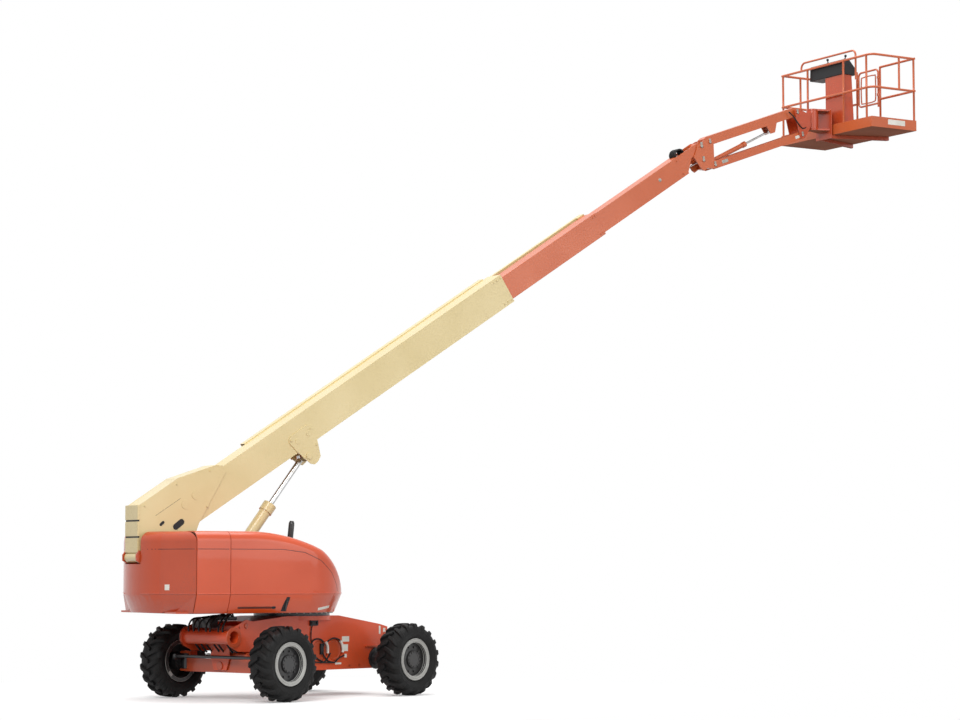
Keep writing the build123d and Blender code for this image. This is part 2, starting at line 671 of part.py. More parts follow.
# Push tube of the hose carrier: slides in the base boom's tray and is held by the mid boom's front
push_span = (3900.0, mid_span[1])
with BuildPart() as push_tube:
    rear, front = push_span
    plate(boom_side, [(rear, 250), (front, 250), (front, 350), (rear, 350)], -280, -210)
    plate(boom_side, [(rear - 10, 255), (front - 140, 255), (front - 140, 345), (rear - 10, 345)], -275, -215,
          mode=Mode.SUBTRACT)
    plate(boom_side, [(front - 130, 230), (front, 230), (front, 350), (front - 130, 350)], -211,
          -mid_box[2] - run_gap)
    plate(boom_side, [(rear, 240), (rear + 100, 240), (rear + 100, 250), (rear, 250)], -270, -220)
    for spot in ((rear + 10, 205.3), (rear + 1100, 205.3), (rear + 2300, 205.3)):
        plate(boom_side, [(spot[0], 205.3), (spot[0] + 60, 205.3), (spot[0] + 60, 251), (spot[0], 251)], -270, -220)
finish(push_tube.part, "push_tube")

with BuildPart() as mid_boom:
    box_tube(mid_span, mid_box, boom_wall)
    slide_pads((mid_span[0] + 20, mid_span[0] + 20 + pad_length),
               (base_low + boom_wall + run_gap, base_high - boom_wall - run_gap, base_half - boom_wall - run_gap),
               (mid_box[0], mid_box[1], mid_box[2]))
    slide_pads((mid_span[1] - 20 - pad_length, mid_span[1] - 20),
               (mid_box[0] + boom_wall, mid_box[1] - boom_wall, mid_box[2] - boom_wall),
               (fly_box[0] - run_gap, fly_box[1] + run_gap, fly_box[2] + run_gap))
finish(mid_boom.part, "mid_boom")

# Levelling cylinder, in boom lengths and heights: from its cross pin to its eye on the jib bracket
level_base = (fly_span[1] - 570.0, 100.0)
level_rod_radius = 17.0
level_turn = radians(boom_angle)
level_eye = (
    jib_pivot[0] + level_pin[0] * cos(level_turn) + level_pin[1] * sin(level_turn),
    jib_pivot[1] + level_pin[1] * cos(level_turn) - level_pin[0] * sin(level_turn),
)
level_reach = hypot(level_eye[0] - level_base[0], level_eye[1] - level_base[1])
level_tilt = boom_angle + degrees(atan2(level_eye[1] - level_base[1], level_eye[0] - level_base[0]))
level_foot = along(boom_pivot, boom_angle, *level_base)


def level_section(distance):
    return tube_section(level_foot, level_tilt, distance)


nose_plate = [
    (fly_span[1] - 60, fly_box[0]), (fly_span[1] - 20, fly_box[0]), (jib_pivot[0] - 250, 166),
    (jib_pivot[0] - 83, 188), (jib_pivot[0] - 45, 172), (jib_pivot[0], 162), (jib_pivot[0] + 55, 185),
    (jib_pivot[0] + 75, 237), (jib_pivot[0] + 55, 290), (jib_pivot[0], 312), (fly_span[1] - 60, 312),
]
with BuildPart() as fly_boom:
    box_tube(fly_span, fly_box, boom_wall)
    twin_plates(boom_side, nose_plate, *nose_cheek)
    round_bar(boom_side, jib_pivot, 60.0, -nose_cheek[1], nose_cheek[1])
    round_bar(boom_side, jib_pivot, 28 + run_gap, -130, 130, mode=Mode.SUBTRACT)
    slide_pads((fly_span[0] + 20, fly_span[0] + 20 + pad_length),
               (mid_box[0] + boom_wall + run_gap, mid_box[1] - boom_wall - run_gap,
                mid_box[2] - boom_wall - run_gap),
               (fly_box[0], fly_box[1], fly_box[2]))
    # The levelling cylinder's barrel lies inside the tube on a cross pin
    round_bar(boom_side, level_base, 22.0, 1 - fly_box[2], fly_box[2] - 1)
    round_bar(level_section(0), (0, 0), 32.0, 0, 480)
    round_bar(level_section(60), (0, 0), level_rod_radius + run_gap, 0, 430, mode=Mode.SUBTRACT)
finish(fly_boom.part, "fly_boom")

# Levelling rod between the fly boom and the jib bracket
with BuildPart() as level_rod:
    round_bar(level_section(250), (0, 0), level_rod_radius, 0, level_reach - 270)
    round_bar(boom_side, level_eye, 34.0, -30, 30)
    round_bar(boom_side, level_eye, 15.0, -31, 31, mode=Mode.SUBTRACT)
finish(level_rod.part, "level_rod")

# Jib bracket, levelled
bracket_side = tilted_side(jib_root, 0)
bracket_outline = [
    (-76, 7), (60, 103), (146, 131), (200, 125), (236, 90), (247, -188), (315, -250), (310, -310), (262, -330),
    (120, -330), (54, -379), (0, -349), (-137, -185), (-90, -60),
]
with BuildPart() as jib_bracket:
    twin_plates(bracket_side, bracket_outline, bracket_plate[0], bracket_plate[1])
    for spot, radius in (((0, 0), 28.0), (arm_pin, 24.0)):
        round_bar(bracket_side, spot, radius, -bracket_plate[1] - 12, bracket_plate[1] + 12)
    for spot, radius, inner in ((level_pin, 26.0, 60), (link_pin, 24.0, 50)):
        twin_bars(bracket_side, spot, radius, inner, bracket_plate[1] + 12)
    # Ledges carry the lugs of the jib cylinder's foot
    twin_plates(bracket_side, [(100, -330), (180, -330), (180, -318), (100, -318)], 50, bracket_plate[0] + 5)
    twin_plates(bracket_side, [(100, -328), (180, -328), (222, -262), (212, -215), (176, -215), (110, -290)], 50, 65)
    round_bar(bracket_side, jib_cylinder_base, 20.0, -66, 66)
finish(jib_bracket.part, "jib_bracket")

# Upper arm: a box open below for the cylinder
low, high = upper_arm_span
with BuildPart() as jib_upper_arm:
    arm_outline = [(-60, -30), (-60, 70), (0, high), (jib_length, high), (jib_length + 50, 60),
                   (jib_length + 50, -30), (jib_length, low), (0, low)]
    plate(jib_side, arm_outline, -upper_arm_half, upper_arm_half)
    plate(jib_side, [(70, low - 20), (1640, low - 20), (1640, high - 8), (70, high - 8)],
          8 - upper_arm_half, upper_arm_half - 8, mode=Mode.SUBTRACT)
    eye_x, eye_y = jib_cylinder_eye
    twin_plates(jib_side, [(eye_x - 90, low + 20), (eye_x - 45, eye_y - 40), (eye_x + 45, eye_y - 40),
                           (eye_x + 140, low + 20)], upper_arm_half - 14, upper_arm_half)
    for spot in ((0, 0), (jib_length, 0)):
        round_bar(jib_side, spot, 24 + run_gap, -200, 200, mode=Mode.SUBTRACT)
finish(jib_upper_arm.part, "jib_upper_arm")

# Lower arm: two bars that pass outside the upper arm
with BuildPart() as jib_lower_arm:
    half_depth = lower_arm_depth / 2
    bar_outline = [(-50, -half_depth + 15), (-50, half_depth - 15), (-30, half_depth), (jib_length + 30, half_depth),
                   (jib_length + 50, half_depth - 15), (jib_length + 50, -half_depth + 15),
                   (jib_length + 30, -half_depth), (-30, -half_depth)]
    twin_plates(link_side, bar_outline, lower_bar[0], lower_bar[1])
    twin_bars(link_side, (0, 0), 30.0, 50, lower_bar[1])
    round_bar(link_side, (jib_length, 0), 36.0, -lower_bar[1], lower_bar[1])
    for spot in ((0, 0), (jib_length, 0)):
        round_bar(link_side, spot, 24 + run_gap, -200, 200, mode=Mode.SUBTRACT)
finish(jib_lower_arm.part, "jib_lower_arm")

# Jib cylinder
jib_base = plus(jib_root, jib_cylinder_base)
jib_eye = along(arm_root, jib_angle, *jib_cylinder_eye)
cylinder_angle = degrees(atan2(jib_eye[1] - jib_base[1], jib_eye[0] - jib_base[0]))
cylinder_reach = hypot(jib_eye[0] - jib_base[0], jib_eye[1] - jib_base[1])
cylinder_side = tilted_side(jib_base, cylinder_angle)


def cylinder_section(distance):
    return tube_section(jib_base, cylinder_angle, distance)


with BuildPart() as jib_barrel:
    round_bar(cylinder_section(25), (0, 0), 24.0, 0, 70)
    round_bar(cylinder_section(90), (0, 0), jib_barrel_radius, 0, jib_barrel_length - 90)
    round_bar(cylinder_section(jib_barrel_length - 60), (0, 0), jib_barrel_radius + 8, 0, 60)
    round_bar(cylinder_side, (0, 0), 34.0, -40, 40)
    round_bar(cylinder_side, (0, 0), 20 + run_gap, -60, 60, mode=Mode.SUBTRACT)
    round_bar(cylinder_section(100), (0, 0), jib_rod_radius + run_gap, 0, jib_barrel_length, mode=Mode.SUBTRACT)
finish(jib_barrel.part, "jib_barrel")

jib_rod_length = 860.0
with BuildPart() as jib_rod:
    round_bar(cylinder_section(cylinder_reach - jib_rod_length), (0, 0), jib_rod_radius, 0, jib_rod_length - 20)
    round_bar(cylinder_side, (cylinder_reach, 0), 34.0, -28, 28)
    round_bar(cylinder_side, (cylinder_reach, 0), 15.0, -29, 29, mode=Mode.SUBTRACT)
finish(jib_rod.part, "jib_rod")

# End link of the jib, with the rotator's housing
link_frame = tilted_side(arm_tip, 0)
to_lower = (link_tip[0] - arm_tip[0], link_tip[1] - arm_tip[1])
rotator_low = platform_floor + 95
rotator_high = platform_floor + 380
with BuildPart() as jib_end_link:
    outline = [(-55, 40), (0, 62), (70, 55), (160, 20), (250, 20), (250, -230), (190, -330),
               (to_lower[0] + 30, to_lower[1] - 55), (to_lower[0] - 40, to_lower[1] - 45)]
    twin_plates(link_frame, outline, bracket_plate[0], bracket_plate[1])
    plate(link_frame, [(200, 10), (260, 10), (260, -225), (200, -225)], -bracket_plate[1], bracket_plate[1])
    plate(Plane.XZ, [(arm_tip[0] + 240, rotator_low + 20), (rotator_x, rotator_low + 20),
                     (rotator_x, rotator_high - 20), (arm_tip[0] + 240, rotator_high - 60)], -70, 70)
    round_bar(Plane.XY, (rotator_x, 0), rotator_radius, rotator_low, rotator_high)
    for spot in ((0, 0), to_lower):
        round_bar(link_frame, spot, 24.0, -bracket_plate[1] - 12, bracket_plate[1] + 12)
    round_bar(Plane.XY, (rotator_x, 0), 40 + run_gap, rotator_low - 5, rotator_high + 5, mode=Mode.SUBTRACT)
finish(jib_end_link.part, "jib_end_link")

# Platform support: turns on the rotator and carries the floor on two beams
beam_drop = 60.0
with BuildPart() as platform_support:
    round_bar(Plane.XY, (rotator_x, 0), 40.0, rotator_low - 30, rotator_high + 30)
    for low, high in ((rotator_low - 30, rotator_low - run_gap), (rotator_high + run_gap, rotator_high + 30)):
        round_bar(Plane.XY, (rotator_x, 0), rotator_radius, low, high)
        plate(Plane.XY, [(rotator_x, -80), (platform_x - 30, -165), (platform_x - 30, 165), (rotator_x, 80)],
              low, high)
    plate(Plane.XZ, [(platform_x - 40, platform_floor - beam_drop), (platform_x - 25, platform_floor - beam_drop),
                     (platform_x - 25, rotator_high + 30), (platform_x - 40, rotator_high + 30)], -200, 200)
    for side in (-1, 1):
        beam = [(platform_x - 40, side * 90), (platform_x + platform_depth, side * 420),
                (platform_x + platform_depth, side * 480), (platform_x - 40, side * 160)]
        plate(Plane.XY, beam, platform_floor - beam_drop, platform_floor - run_gap)
finish(platform_support.part, "platform_support")

# Platform floor: a tray of sheet with toe boards
half_length = platform_length / 2
far_x = platform_x + platform_depth
with BuildPart() as platform_tray:
    centre_x = platform_x + platform_depth / 2
    with BuildSketch(Plane.XY.offset(platform_floor)):
        with Locations((centre_x, 0)):
            Rectangle(platform_depth, platform_length)
    extrude(amount=toe_height)
    with BuildSketch(Plane.XY.offset(platform_floor + sheet)):
        with Locations((centre_x, 0)):
            Rectangle(platform_depth - 2 * sheet, platform_length - 2 * sheet)
    extrude(amount=toe_height, mode=Mode.SUBTRACT)
finish(platform_tray.part, "platform_tray")

# Rails: posts and rails of each side, with their places along the side
rail_inset = 25.0
near_x = platform_x + rail_inset
back_x = far_x - rail_inset
side_y = half_length - rail_inset
post_foot = platform_floor + sheet
rail_top_z = platform_floor + top_rail
rail_mid_z = platform_floor + mid_rail
gate_free_y = gate_post_y + gate_width + 20
gate_x = back_x
gate_low = rail_mid_z - 60
gate_high = rail_top_z - 20
gate_radius = 16.0
hinge_y = gate_post_y + 2 * rail_radius + 8


def post(x, y, low, high):
    round_bar(Plane.XY, (x, y), post_radius, low, high)


corner_bend = 100.0
with BuildPart() as rails_near:
    for y in (-side_y + corner_bend + rail_radius + 6, -430, 480, side_y):
        post(near_x, y, post_foot, rail_top_z)
    for z in (rail_top_z, rail_mid_z):
        tube_path([(near_x, -side_y + corner_bend, z), (near_x, side_y + 25, z)], rail_radius, 0)
    guard_z = rail_top_z + 125
    tube_path([(near_x, -740, rail_mid_z + 170), (near_x, -740, guard_z), (near_x, 640, guard_z),
               (near_x, 640, rail_top_z)], 16.0, 90)
finish(rails_near.part, "rails_near")

with BuildPart() as rails_far:
    for y in (-side_y, gate_post_y, gate_free_y, side_y - corner_bend - rail_radius - 6):
        post(back_x, y, post_foot, rail_top_z)
    for z in (rail_top_z, rail_mid_z):
        tube_path([(back_x, -side_y - 25, z), (back_x, gate_post_y, z)], rail_radius, 0)
        tube_path([(back_x, gate_free_y, z), (back_x, side_y - corner_bend, z)], rail_radius, 0)
    # Two sleeves hold the gate's hinge tube
    for z in (gate_low + 120, gate_high - 160):
        round_bar(Plane.XY, (gate_x, hinge_y), gate_radius + 9, z, z + 40)
        plate(Plane.XY, [(gate_x - 6, gate_post_y), (gate_x + 6, gate_post_y), (gate_x + 6, hinge_y - 18),
                         (gate_x - 6, hinge_y - 18)], z, z + 40)
        round_bar(Plane.XY, (gate_x, hinge_y), gate_radius + run_gap, z - 1, z + 41, mode=Mode.SUBTRACT)
finish(rails_far.part, "rails_far")

with BuildPart() as rails_ends:
    for z in (rail_top_z, rail_mid_z):
        tube_path([(near_x, -side_y + corner_bend, z), (near_x, -side_y, z), (back_x - rail_radius, -side_y, z)],
                  rail_radius, corner_bend - 1)
        tube_path([(back_x, side_y - corner_bend, z), (back_x, side_y, z), (near_x + rail_radius, side_y, z)],
                  rail_radius, corner_bend - 1)
    post(near_x + 560, -side_y, rail_mid_z, rail_top_z)
    post(near_x + 360, side_y, rail_mid_z, rail_top_z)
finish(rails_ends.part, "rails_ends")

# Gate: a bent tube loop hung from its post, opening inward
with BuildPart() as gate:
    loop_ends = (hinge_y, gate_post_y + gate_width - 23)
    tube_path([(gate_x, loop_ends[0], gate_low - 60), (gate_x, loop_ends[0], gate_high),
               (gate_x, loop_ends[1], gate_high), (gate_x, loop_ends[1], gate_low),
               (gate_x, loop_ends[0] + 20, gate_low)], gate_radius, 70)
    tube_path([(gate_x, loop_ends[0] + 20, gate_low), (gate_x, loop_ends[0], gate_low)], gate_radius, 0)
finish(gate.part, "gate")

# Control console and its cabinet
with BuildPart() as console:
    plate(Plane.XZ, [(platform_x + 52, platform_floor + 960), (platform_x + 330, platform_floor + 960),
                     (platform_x + 330, platform_floor + 1060), (platform_x + 200, platform_floor + 1200),
                     (platform_x + 60, platform_floor + 1200)], -460, 380)
finish(console.part, "console")

with BuildPart() as console_cabinet:
    plate(Plane.XZ, [(platform_x + 70, platform_floor + sheet), (platform_x + 300, platform_floor + sheet),
                     (platform_x + 250, platform_floor + 960), (platform_x + 70, platform_floor + 960)], -80, 360)
    plate(Plane.XZ, [(platform_x + 76, platform_floor - 10), (platform_x + 310, platform_floor - 10),
                     (platform_x + 256, platform_floor + 954), (platform_x + 76, platform_floor + 954)], -74, 354,
          mode=Mode.SUBTRACT)
finish(console_cabinet.part, "console_cabinet")
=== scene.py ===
# Telescopic boom lift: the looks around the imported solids
import json
from itertools import product
from math import cos, hypot, pi, radians, sin

import bmesh
import bpy
from mathutils import Matrix, Vector
from mathutils.bvhtree import BVHTree

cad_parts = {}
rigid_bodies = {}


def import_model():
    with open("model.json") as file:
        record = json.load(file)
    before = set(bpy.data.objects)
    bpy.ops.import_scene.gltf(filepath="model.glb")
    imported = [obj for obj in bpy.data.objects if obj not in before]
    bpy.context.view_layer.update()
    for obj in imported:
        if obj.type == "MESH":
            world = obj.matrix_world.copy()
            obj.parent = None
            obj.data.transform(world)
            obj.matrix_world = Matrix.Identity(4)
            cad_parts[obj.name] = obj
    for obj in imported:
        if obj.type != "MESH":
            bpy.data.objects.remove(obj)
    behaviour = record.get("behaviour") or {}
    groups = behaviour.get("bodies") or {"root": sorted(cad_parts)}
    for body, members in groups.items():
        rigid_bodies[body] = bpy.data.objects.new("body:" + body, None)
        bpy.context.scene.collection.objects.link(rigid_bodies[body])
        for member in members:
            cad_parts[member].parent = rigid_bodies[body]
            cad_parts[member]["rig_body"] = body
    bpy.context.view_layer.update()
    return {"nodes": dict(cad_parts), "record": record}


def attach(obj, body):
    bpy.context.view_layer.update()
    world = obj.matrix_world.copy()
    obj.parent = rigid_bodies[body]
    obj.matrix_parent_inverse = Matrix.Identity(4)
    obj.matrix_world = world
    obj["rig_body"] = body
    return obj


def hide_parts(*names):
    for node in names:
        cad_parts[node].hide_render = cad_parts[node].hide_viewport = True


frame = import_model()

scene = bpy.context.scene
nodeBody = {name: obj["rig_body"] for name, obj in frame["nodes"].items()}
nodeSlot = {s["node"]: s["material_slot"] for s in frame["record"]["subparts"]}


# places: the chassis stands turned under the turntable, and the boom and jib are raised
chassisTurn = 18.3


def chassisPlace(u, v, z):  # u runs to the fixed axle, v across to the left
    turn = radians(chassisTurn)
    return Vector((u * cos(turn) - v * sin(turn), u * sin(turn) + v * cos(turn), z))


def tilted(start, angle, x, y, z):  # a point along a tilted line, y across to the left, z square to it
    turn = radians(angle)
    return Vector((start[0] + x * cos(turn) - z * sin(turn), y, start[1] + x * sin(turn) + z * cos(turn)))


def frameAt(origin, xDir, zDir):  # a matrix whose X and Z run along two directions
    zAxis = Vector(zDir).normalized()
    xAxis = (Vector(xDir) - Vector(xDir).dot(zAxis) * zAxis).normalized()
    yAxis = zAxis.cross(xAxis)
    turn = Matrix((xAxis, yAxis, zAxis)).transposed().to_4x4()
    return Matrix.Translation(Vector(origin)) @ turn


boomPivot = (-2.38, 1.92)
boomAngle = 33.0
linkRoot = (7.2676, 8.0257)
jibAngle = 19.7
across = chassisPlace(0, 1, 0)
forwardU = chassisPlace(1, 0, 0)


def boomPlace(x, y, z):
    return tilted(boomPivot, boomAngle, x, y, z)


# materials
def linearColour(hexText):
    values = [int(hexText[i:i + 2], 16) / 255 for i in (1, 3, 5)]
    values = [c / 12.92 if c <= 0.04045 else ((c + 0.055) / 1.055) ** 2.4 for c in values]
    return (*values, 1.0)


def addNode(tree, kind, values=None, links=None, **settings):
    node = tree.nodes.new(kind)
    for key, value in settings.items():
        setattr(node, key, value)
    for key, value in (values or {}).items():
        node.inputs[key].default_value = value
    for key, source in (links or {}).items():
        tree.links.new(source, node.inputs[key])
    return node


def perMetre(millimetres):  # a noise scale for a feature of that size
    return 1000.0 / millimetres


def startMaterial(name, **shaderValues):
    material = bpy.data.materials.new(name)
    material.use_nodes = True
    tree = material.node_tree
    tree.nodes.clear()
    place = addNode(tree, "ShaderNodeTexCoord").outputs["Object"]
    shader = addNode(tree, "ShaderNodeBsdfPrincipled", shaderValues)
    addNode(tree, "ShaderNodeOutputMaterial", links={"Surface": shader.outputs[0]})
    return material, tree, place, shader


def noise(tree, place, millimetres, detail=3.0, roughness=0.55):
    return addNode(tree, "ShaderNodeTexNoise", {"Scale": perMetre(millimetres), "Detail": detail,
                                                "Roughness": roughness}, {"Vector": place}).outputs["Fac"]


def remap(tree, source, low, high, outLow=0.0, outHigh=1.0):
    return addNode(tree, "ShaderNodeMapRange", {"From Min": low, "From Max": high, "To Min": outLow,
                                                "To Max": outHigh}, {"Value": source}).outputs["Result"]


def mixColour(tree, amount, first, second):  # colours as hex text or as sockets
    node = addNode(tree, "ShaderNodeMix", data_type="RGBA")
    for index, value in ((6, first), (7, second)):
        if isinstance(value, str):
            node.inputs[index].default_value = linearColour(value)
        else:
            tree.links.new(value, node.inputs[index])
    if isinstance(amount, float):
        node.inputs[0].default_value = amount
    else:
        tree.links.new(amount, node.inputs[0])
    return node.outputs[2]


def calculate(tree, operation, first, second):
    node = addNode(tree, "ShaderNodeMath", operation=operation)
    for index, value in enumerate((first, second)):
        if isinstance(value, (int, float)):
            node.inputs[index].default_value = value
        else:
            tree.links.new(value, node.inputs[index])
    return node.outputs[0]


def bump(tree, height, distance, strength=1.0):
    return addNode(tree, "ShaderNodeBump", {"Strength": strength, "Distance": distance},
                   {"Height": height}).outputs["Normal"]


def connect(tree, shader, colour, **sources):
    tree.links.new(colour, shader.inputs["Base Color"])
    for key, source in sources.items():
        tree.links.new(source, shader.inputs[key])


def sprayedEnamel(name, colour, shade, dust, wear, gloss=0.3, peel=0.0003, dirt=0.3, coat=0.35,
                  coatBlur=0.12):
    # Two-pack enamel sprayed on steel: glossy with a fine orange peel, dust in the lower parts, worn edges
    material, tree, place, shader = startMaterial(name, **{"IOR": 1.5, "Coat Weight": coat,
                                                           "Coat Roughness": coatBlur})
    broad = noise(tree, place, 900, 3.0, 0.5)
    fine = noise(tree, place, 25, 5.0, 0.6)
    body = mixColour(tree, remap(tree, broad, 0.3, 0.75), colour, shade)
    height = addNode(tree, "ShaderNodeSeparateXYZ", links={"Vector": place}).outputs["Z"]
    low = remap(tree, height, 1.25, 0.35, 0.12, 1.0)
    speckle = remap(tree, calculate(tree, "ADD", fine, broad), 0.9, 1.35)
    dusty = calculate(tree, "MULTIPLY", speckle, low)
    body = mixColour(tree, calculate(tree, "MULTIPLY", dusty, dirt), body, dust)
    edge = addNode(tree, "ShaderNodeNewGeometry").outputs["Pointiness"]
    rubbed = calculate(tree, "MULTIPLY", remap(tree, edge, 0.53, 0.6), remap(tree, fine, 0.5, 0.7))
    body = mixColour(tree, calculate(tree, "MULTIPLY", rubbed, 0.4), body, wear)
    rough = calculate(tree, "ADD", remap(tree, broad, 0.3, 0.7, gloss - 0.05, gloss + 0.08),
                      calculate(tree, "MULTIPLY", dusty, 0.3))
    connect(tree, shader, body, Roughness=rough, Normal=bump(tree, noise(tree, place, 6, 2.0), peel, 0.4))
    return material


def mouldedRubber(name, colour, dust, gloss=0.62):
    # Vulcanised tyre rubber: matt black, greyed by dust on its raised parts
    material, tree, place, shader = startMaterial(name, **{"IOR": 1.52, "Specular IOR Level": 0.22})
    broad = noise(tree, place, 160, 5.0, 0.65)
    fine = noise(tree, place, 9, 4.0, 0.6)
    dusty = remap(tree, calculate(tree, "ADD", fine, broad), 0.88, 1.3)
    greyed = mixColour(tree, calculate(tree, "MULTIPLY", dusty, 0.5), colour, dust)
    connect(tree, shader, greyed, Roughness=remap(tree, broad, 0.3, 0.7, gloss - 0.08, gloss + 0.12),
            Normal=bump(tree, fine, 0.0008, 0.5))
    return material


def hardChrome(name, colour, film):
    # Ground and chrome-plated rod: mirror bright with fine rings left by the grinding and a film of oil
    material, tree, place, shader = startMaterial(name, **{"Metallic": 1.0})
    streak = noise(tree, place, 60, 5.0, 0.7)
    oiled = mixColour(tree, remap(tree, streak, 0.4, 0.75), colour, film)
    connect(tree, shader, oiled, Roughness=remap(tree, streak, 0.3, 0.7, 0.1, 0.22),
            Normal=bump(tree, noise(tree, place, 1.2, 1.0), 0.00002, 0.3))
    return material


def zincSteel(name, colour, stain, gloss=0.38):
    # Zinc-plated steel fasteners and fittings: grey with a faint yellow cast and dull patches
    material, tree, place, shader = startMaterial(name, **{"Metallic": 0.9})
    patch = noise(tree, place, 12, 4.0)
    dulled = mixColour(tree, remap(tree, patch, 0.4, 0.7), colour, stain)
    connect(tree, shader, dulled, Roughness=remap(tree, patch, 0.3, 0.7, gloss, gloss + 0.2))
    return material


def castPlastic(name, colour, shade, gloss=0.5):
    # Moulded plastic: even colour with a fine leather grain that breaks up the highlight
    material, tree, place, shader = startMaterial(name, **{"IOR": 1.49, "Specular IOR Level": 0.35})
    broad = noise(tree, place, 120, 3.0)
    even = mixColour(tree, remap(tree, broad, 0.35, 0.7), colour, shade)
    connect(tree, shader, even, Roughness=remap(tree, broad, 0.3, 0.7, gloss - 0.06, gloss + 0.1),
            Normal=bump(tree, noise(tree, place, 1.5, 2.0), 0.0001, 0.5))
    return material


# each enamel: its colour, its shade in broad patches, the dust on it and the primer at worn edges
orangeEnamel = sprayedEnamel("sprayed orange enamel on steel", "#c04a20", "#b2411b", "#8e5a3c", "#8a4a33")
boomOrange = sprayedEnamel("sprayed orange enamel on boom steel", "#c8602f", "#bd5628", "#a0714f", "#94523a",
                           gloss=0.36)
hoodOrange = sprayedEnamel("glossy orange hood laminate", "#cb470c", "#be400a", "#98603e", "#9c4c33",
                           peel=0.0002, dirt=0.1, coat=0.45, coatBlur=0.03)
counterOrange = sprayedEnamel("orange enamel on cast iron", "#bd420f", "#ab390c", "#8e5634", "#7e4230",
                              gloss=0.32, peel=0.0004, dirt=0.25, coat=0.4, coatBlur=0.05)
# painted light: the frame's orange is brighter than the other enamels, making up for the shade under the cowls
litChassisOrange = sprayedEnamel("orange enamel with painted light on the welded frame", "#dd4f20", "#d0481c", "#9a6040",
                              "#8a4a33", gloss=0.4)
# painted shade: a darker, duller copy of the orange for faces that point down
shadedUndersideOrange = sprayedEnamel("painted shade on the platform undersides", "#8e4a26", "#7d3f20", "#6a5038", "#5b3a26",
                                gloss=0.85, dirt=0.6, coat=0.0)
creamEnamel = sprayedEnamel("sprayed cream enamel on steel", "#d8c591", "#cfbb84", "#a89672", "#a0895f",
                            gloss=0.38)
blackEnamel = sprayedEnamel("sprayed black enamel on steel", "#121214", "#18181b", "#3c3832", "#47403a",
                            gloss=0.4)
rimEnamel = sprayedEnamel("sprayed silver enamel on pressed steel", "#b4b4b0", "#a2a29f", "#8a8278", "#5b5048")
rimDark = sprayedEnamel("sprayed charcoal enamel on wheel discs", "#222224", "#19191b", "#4a443e", "#4c463f",
                        gloss=0.42)
# painted shade: a dark enamel for strips and plates that stand in for the shade in grooves and slots
seamShadow = sprayedEnamel("painted shade in the cowl grooves and slots", "#5e2212", "#551e10", "#54301f", "#4a2a1c",
                           gloss=0.6)
tyreRubber = mouldedRubber("vulcanised tyre rubber", "#0b0b0c", "#201e1c")
hoseRubber = mouldedRubber("braided hydraulic hose rubber", "#101011", "#3a3733", 0.5)
chromeRod = hardChrome("hard chrome on ground steel", "#c9cacc", "#9a9488")
zincPlate = zincSteel("zinc-plated steel", "#a5a39b", "#77726a")
blackPlastic = castPlastic("black moulded ABS", "#18181a", "#222224")
blankVinyl = castPlastic("blank white vinyl film", "#e9e6de", "#d9d5cb", 0.35)
engineAlloy = zincSteel("dull cast aluminium", "#4d4c49", "#2e2d2c", 0.55)

slotMaterials = {
    "orange_paint": orangeEnamel,
    "orange_shell": hoodOrange,
    "cream_paint": creamEnamel,
    "black_paint": blackEnamel,
    "silver_paint": rimEnamel,
    "chrome_rod": chromeRod,
    "tyre_rubber": tyreRubber,
    "cast_weight": counterOrange,
    "engine_casting": engineAlloy,
    "tank_plastic": blackPlastic,
    "console_plastic": blackPlastic,
}
print("materials made")


# mesh helpers
mergeDistance = 0.00002


def smoothPiece(mesh, sharpAngle=32):
    for polygon in mesh.polygons:
        polygon.use_smooth = True
    mesh.set_sharp_from_angle(angle=radians(sharpAngle))


def addObject(name, data):
    added = bpy.data.objects.new(name, data)
    scene.collection.objects.link(added)
    return added


def objectFrom(bm, name):
    mesh = bpy.data.meshes.new(name)
    bm.to_mesh(mesh)
    bm.free()
    return addObject(name, mesh)


def pieceFrom(bm, name, material, body, slotName, bevel=0.0, sharpAngle=32):
    bmesh.ops.remove_doubles(bm, verts=bm.verts, dist=mergeDistance)
    bmesh.ops.recalc_face_normals(bm, faces=bm.faces)
    piece = objectFrom(bm, name)
    if bevel:
        bakeBevel(piece, bevel, sharpAngle)
    piece.data.materials.clear()
    piece.data.materials.append(material)
    smoothPiece(piece.data, sharpAngle)
    if bevel:
        evenNormals(piece)
    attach(piece, body)
    return piece


def bakeModifiers(piece):
    graph = bpy.context.evaluated_depsgraph_get()
    baked = bpy.data.meshes.new_from_object(piece.evaluated_get(graph))
    piece.modifiers.clear()
    piece.data = baked


def bakeWith(piece, kind, **settings):
    modifier = piece.modifiers.new(kind, kind)
    for key, value in settings.items():
        setattr(modifier, key, value)
    bakeModifiers(piece)


def bakeBevel(piece, width, limit):
    bakeWith(piece, "BEVEL", width=width, segments=2, limit_method="ANGLE", angle_limit=radians(limit),
             use_clamp_overlap=True)


def evenNormals(piece):  # large faces keep their own normal, so that the light stays flat beside a rounded edge
    bakeWith(piece, "WEIGHTED_NORMAL", mode="FACE_AREA_WITH_ANGLE", weight=80, keep_sharp=True)


def addBlock(bm, place, size):
    made = bmesh.ops.create_cube(bm, size=1.0)
    bmesh.ops.transform(bm, matrix=place @ Matrix.Diagonal((*size, 1)), verts=made["verts"])


def addPlate(bm, place, outline, near=-0.001, far=0.0012):  # an outline in a place's X and Y, filled along Z
    low = [bm.verts.new(place @ Vector((x, y, near))) for x, y in outline]
    high = [bm.verts.new(place @ Vector((x, y, far))) for x, y in outline]
    bm.faces.new(low)
    bm.faces.new(high)
    for i in range(len(outline)):
        j = (i + 1) % len(outline)
        bm.faces.new((low[i], low[j], high[j], high[i]))


def skinRings(bm, rings, closed=True):  # faces from ring to ring, and one over each end
    strips = len(rings[0]) if closed else len(rings[0]) - 1
    for first, second in zip(rings, rings[1:]):
        for k in range(strips):
            m = (k + 1) % len(first)
            bm.faces.new((first[k], first[m], second[m], second[k]))
    bm.faces.new(rings[0])
    bm.faces.new(rings[-1])


def circle(count, radius):
    angles = [2 * pi * k / count for k in range(count)]
    return [(radius * cos(a), radius * sin(a)) for a in angles]


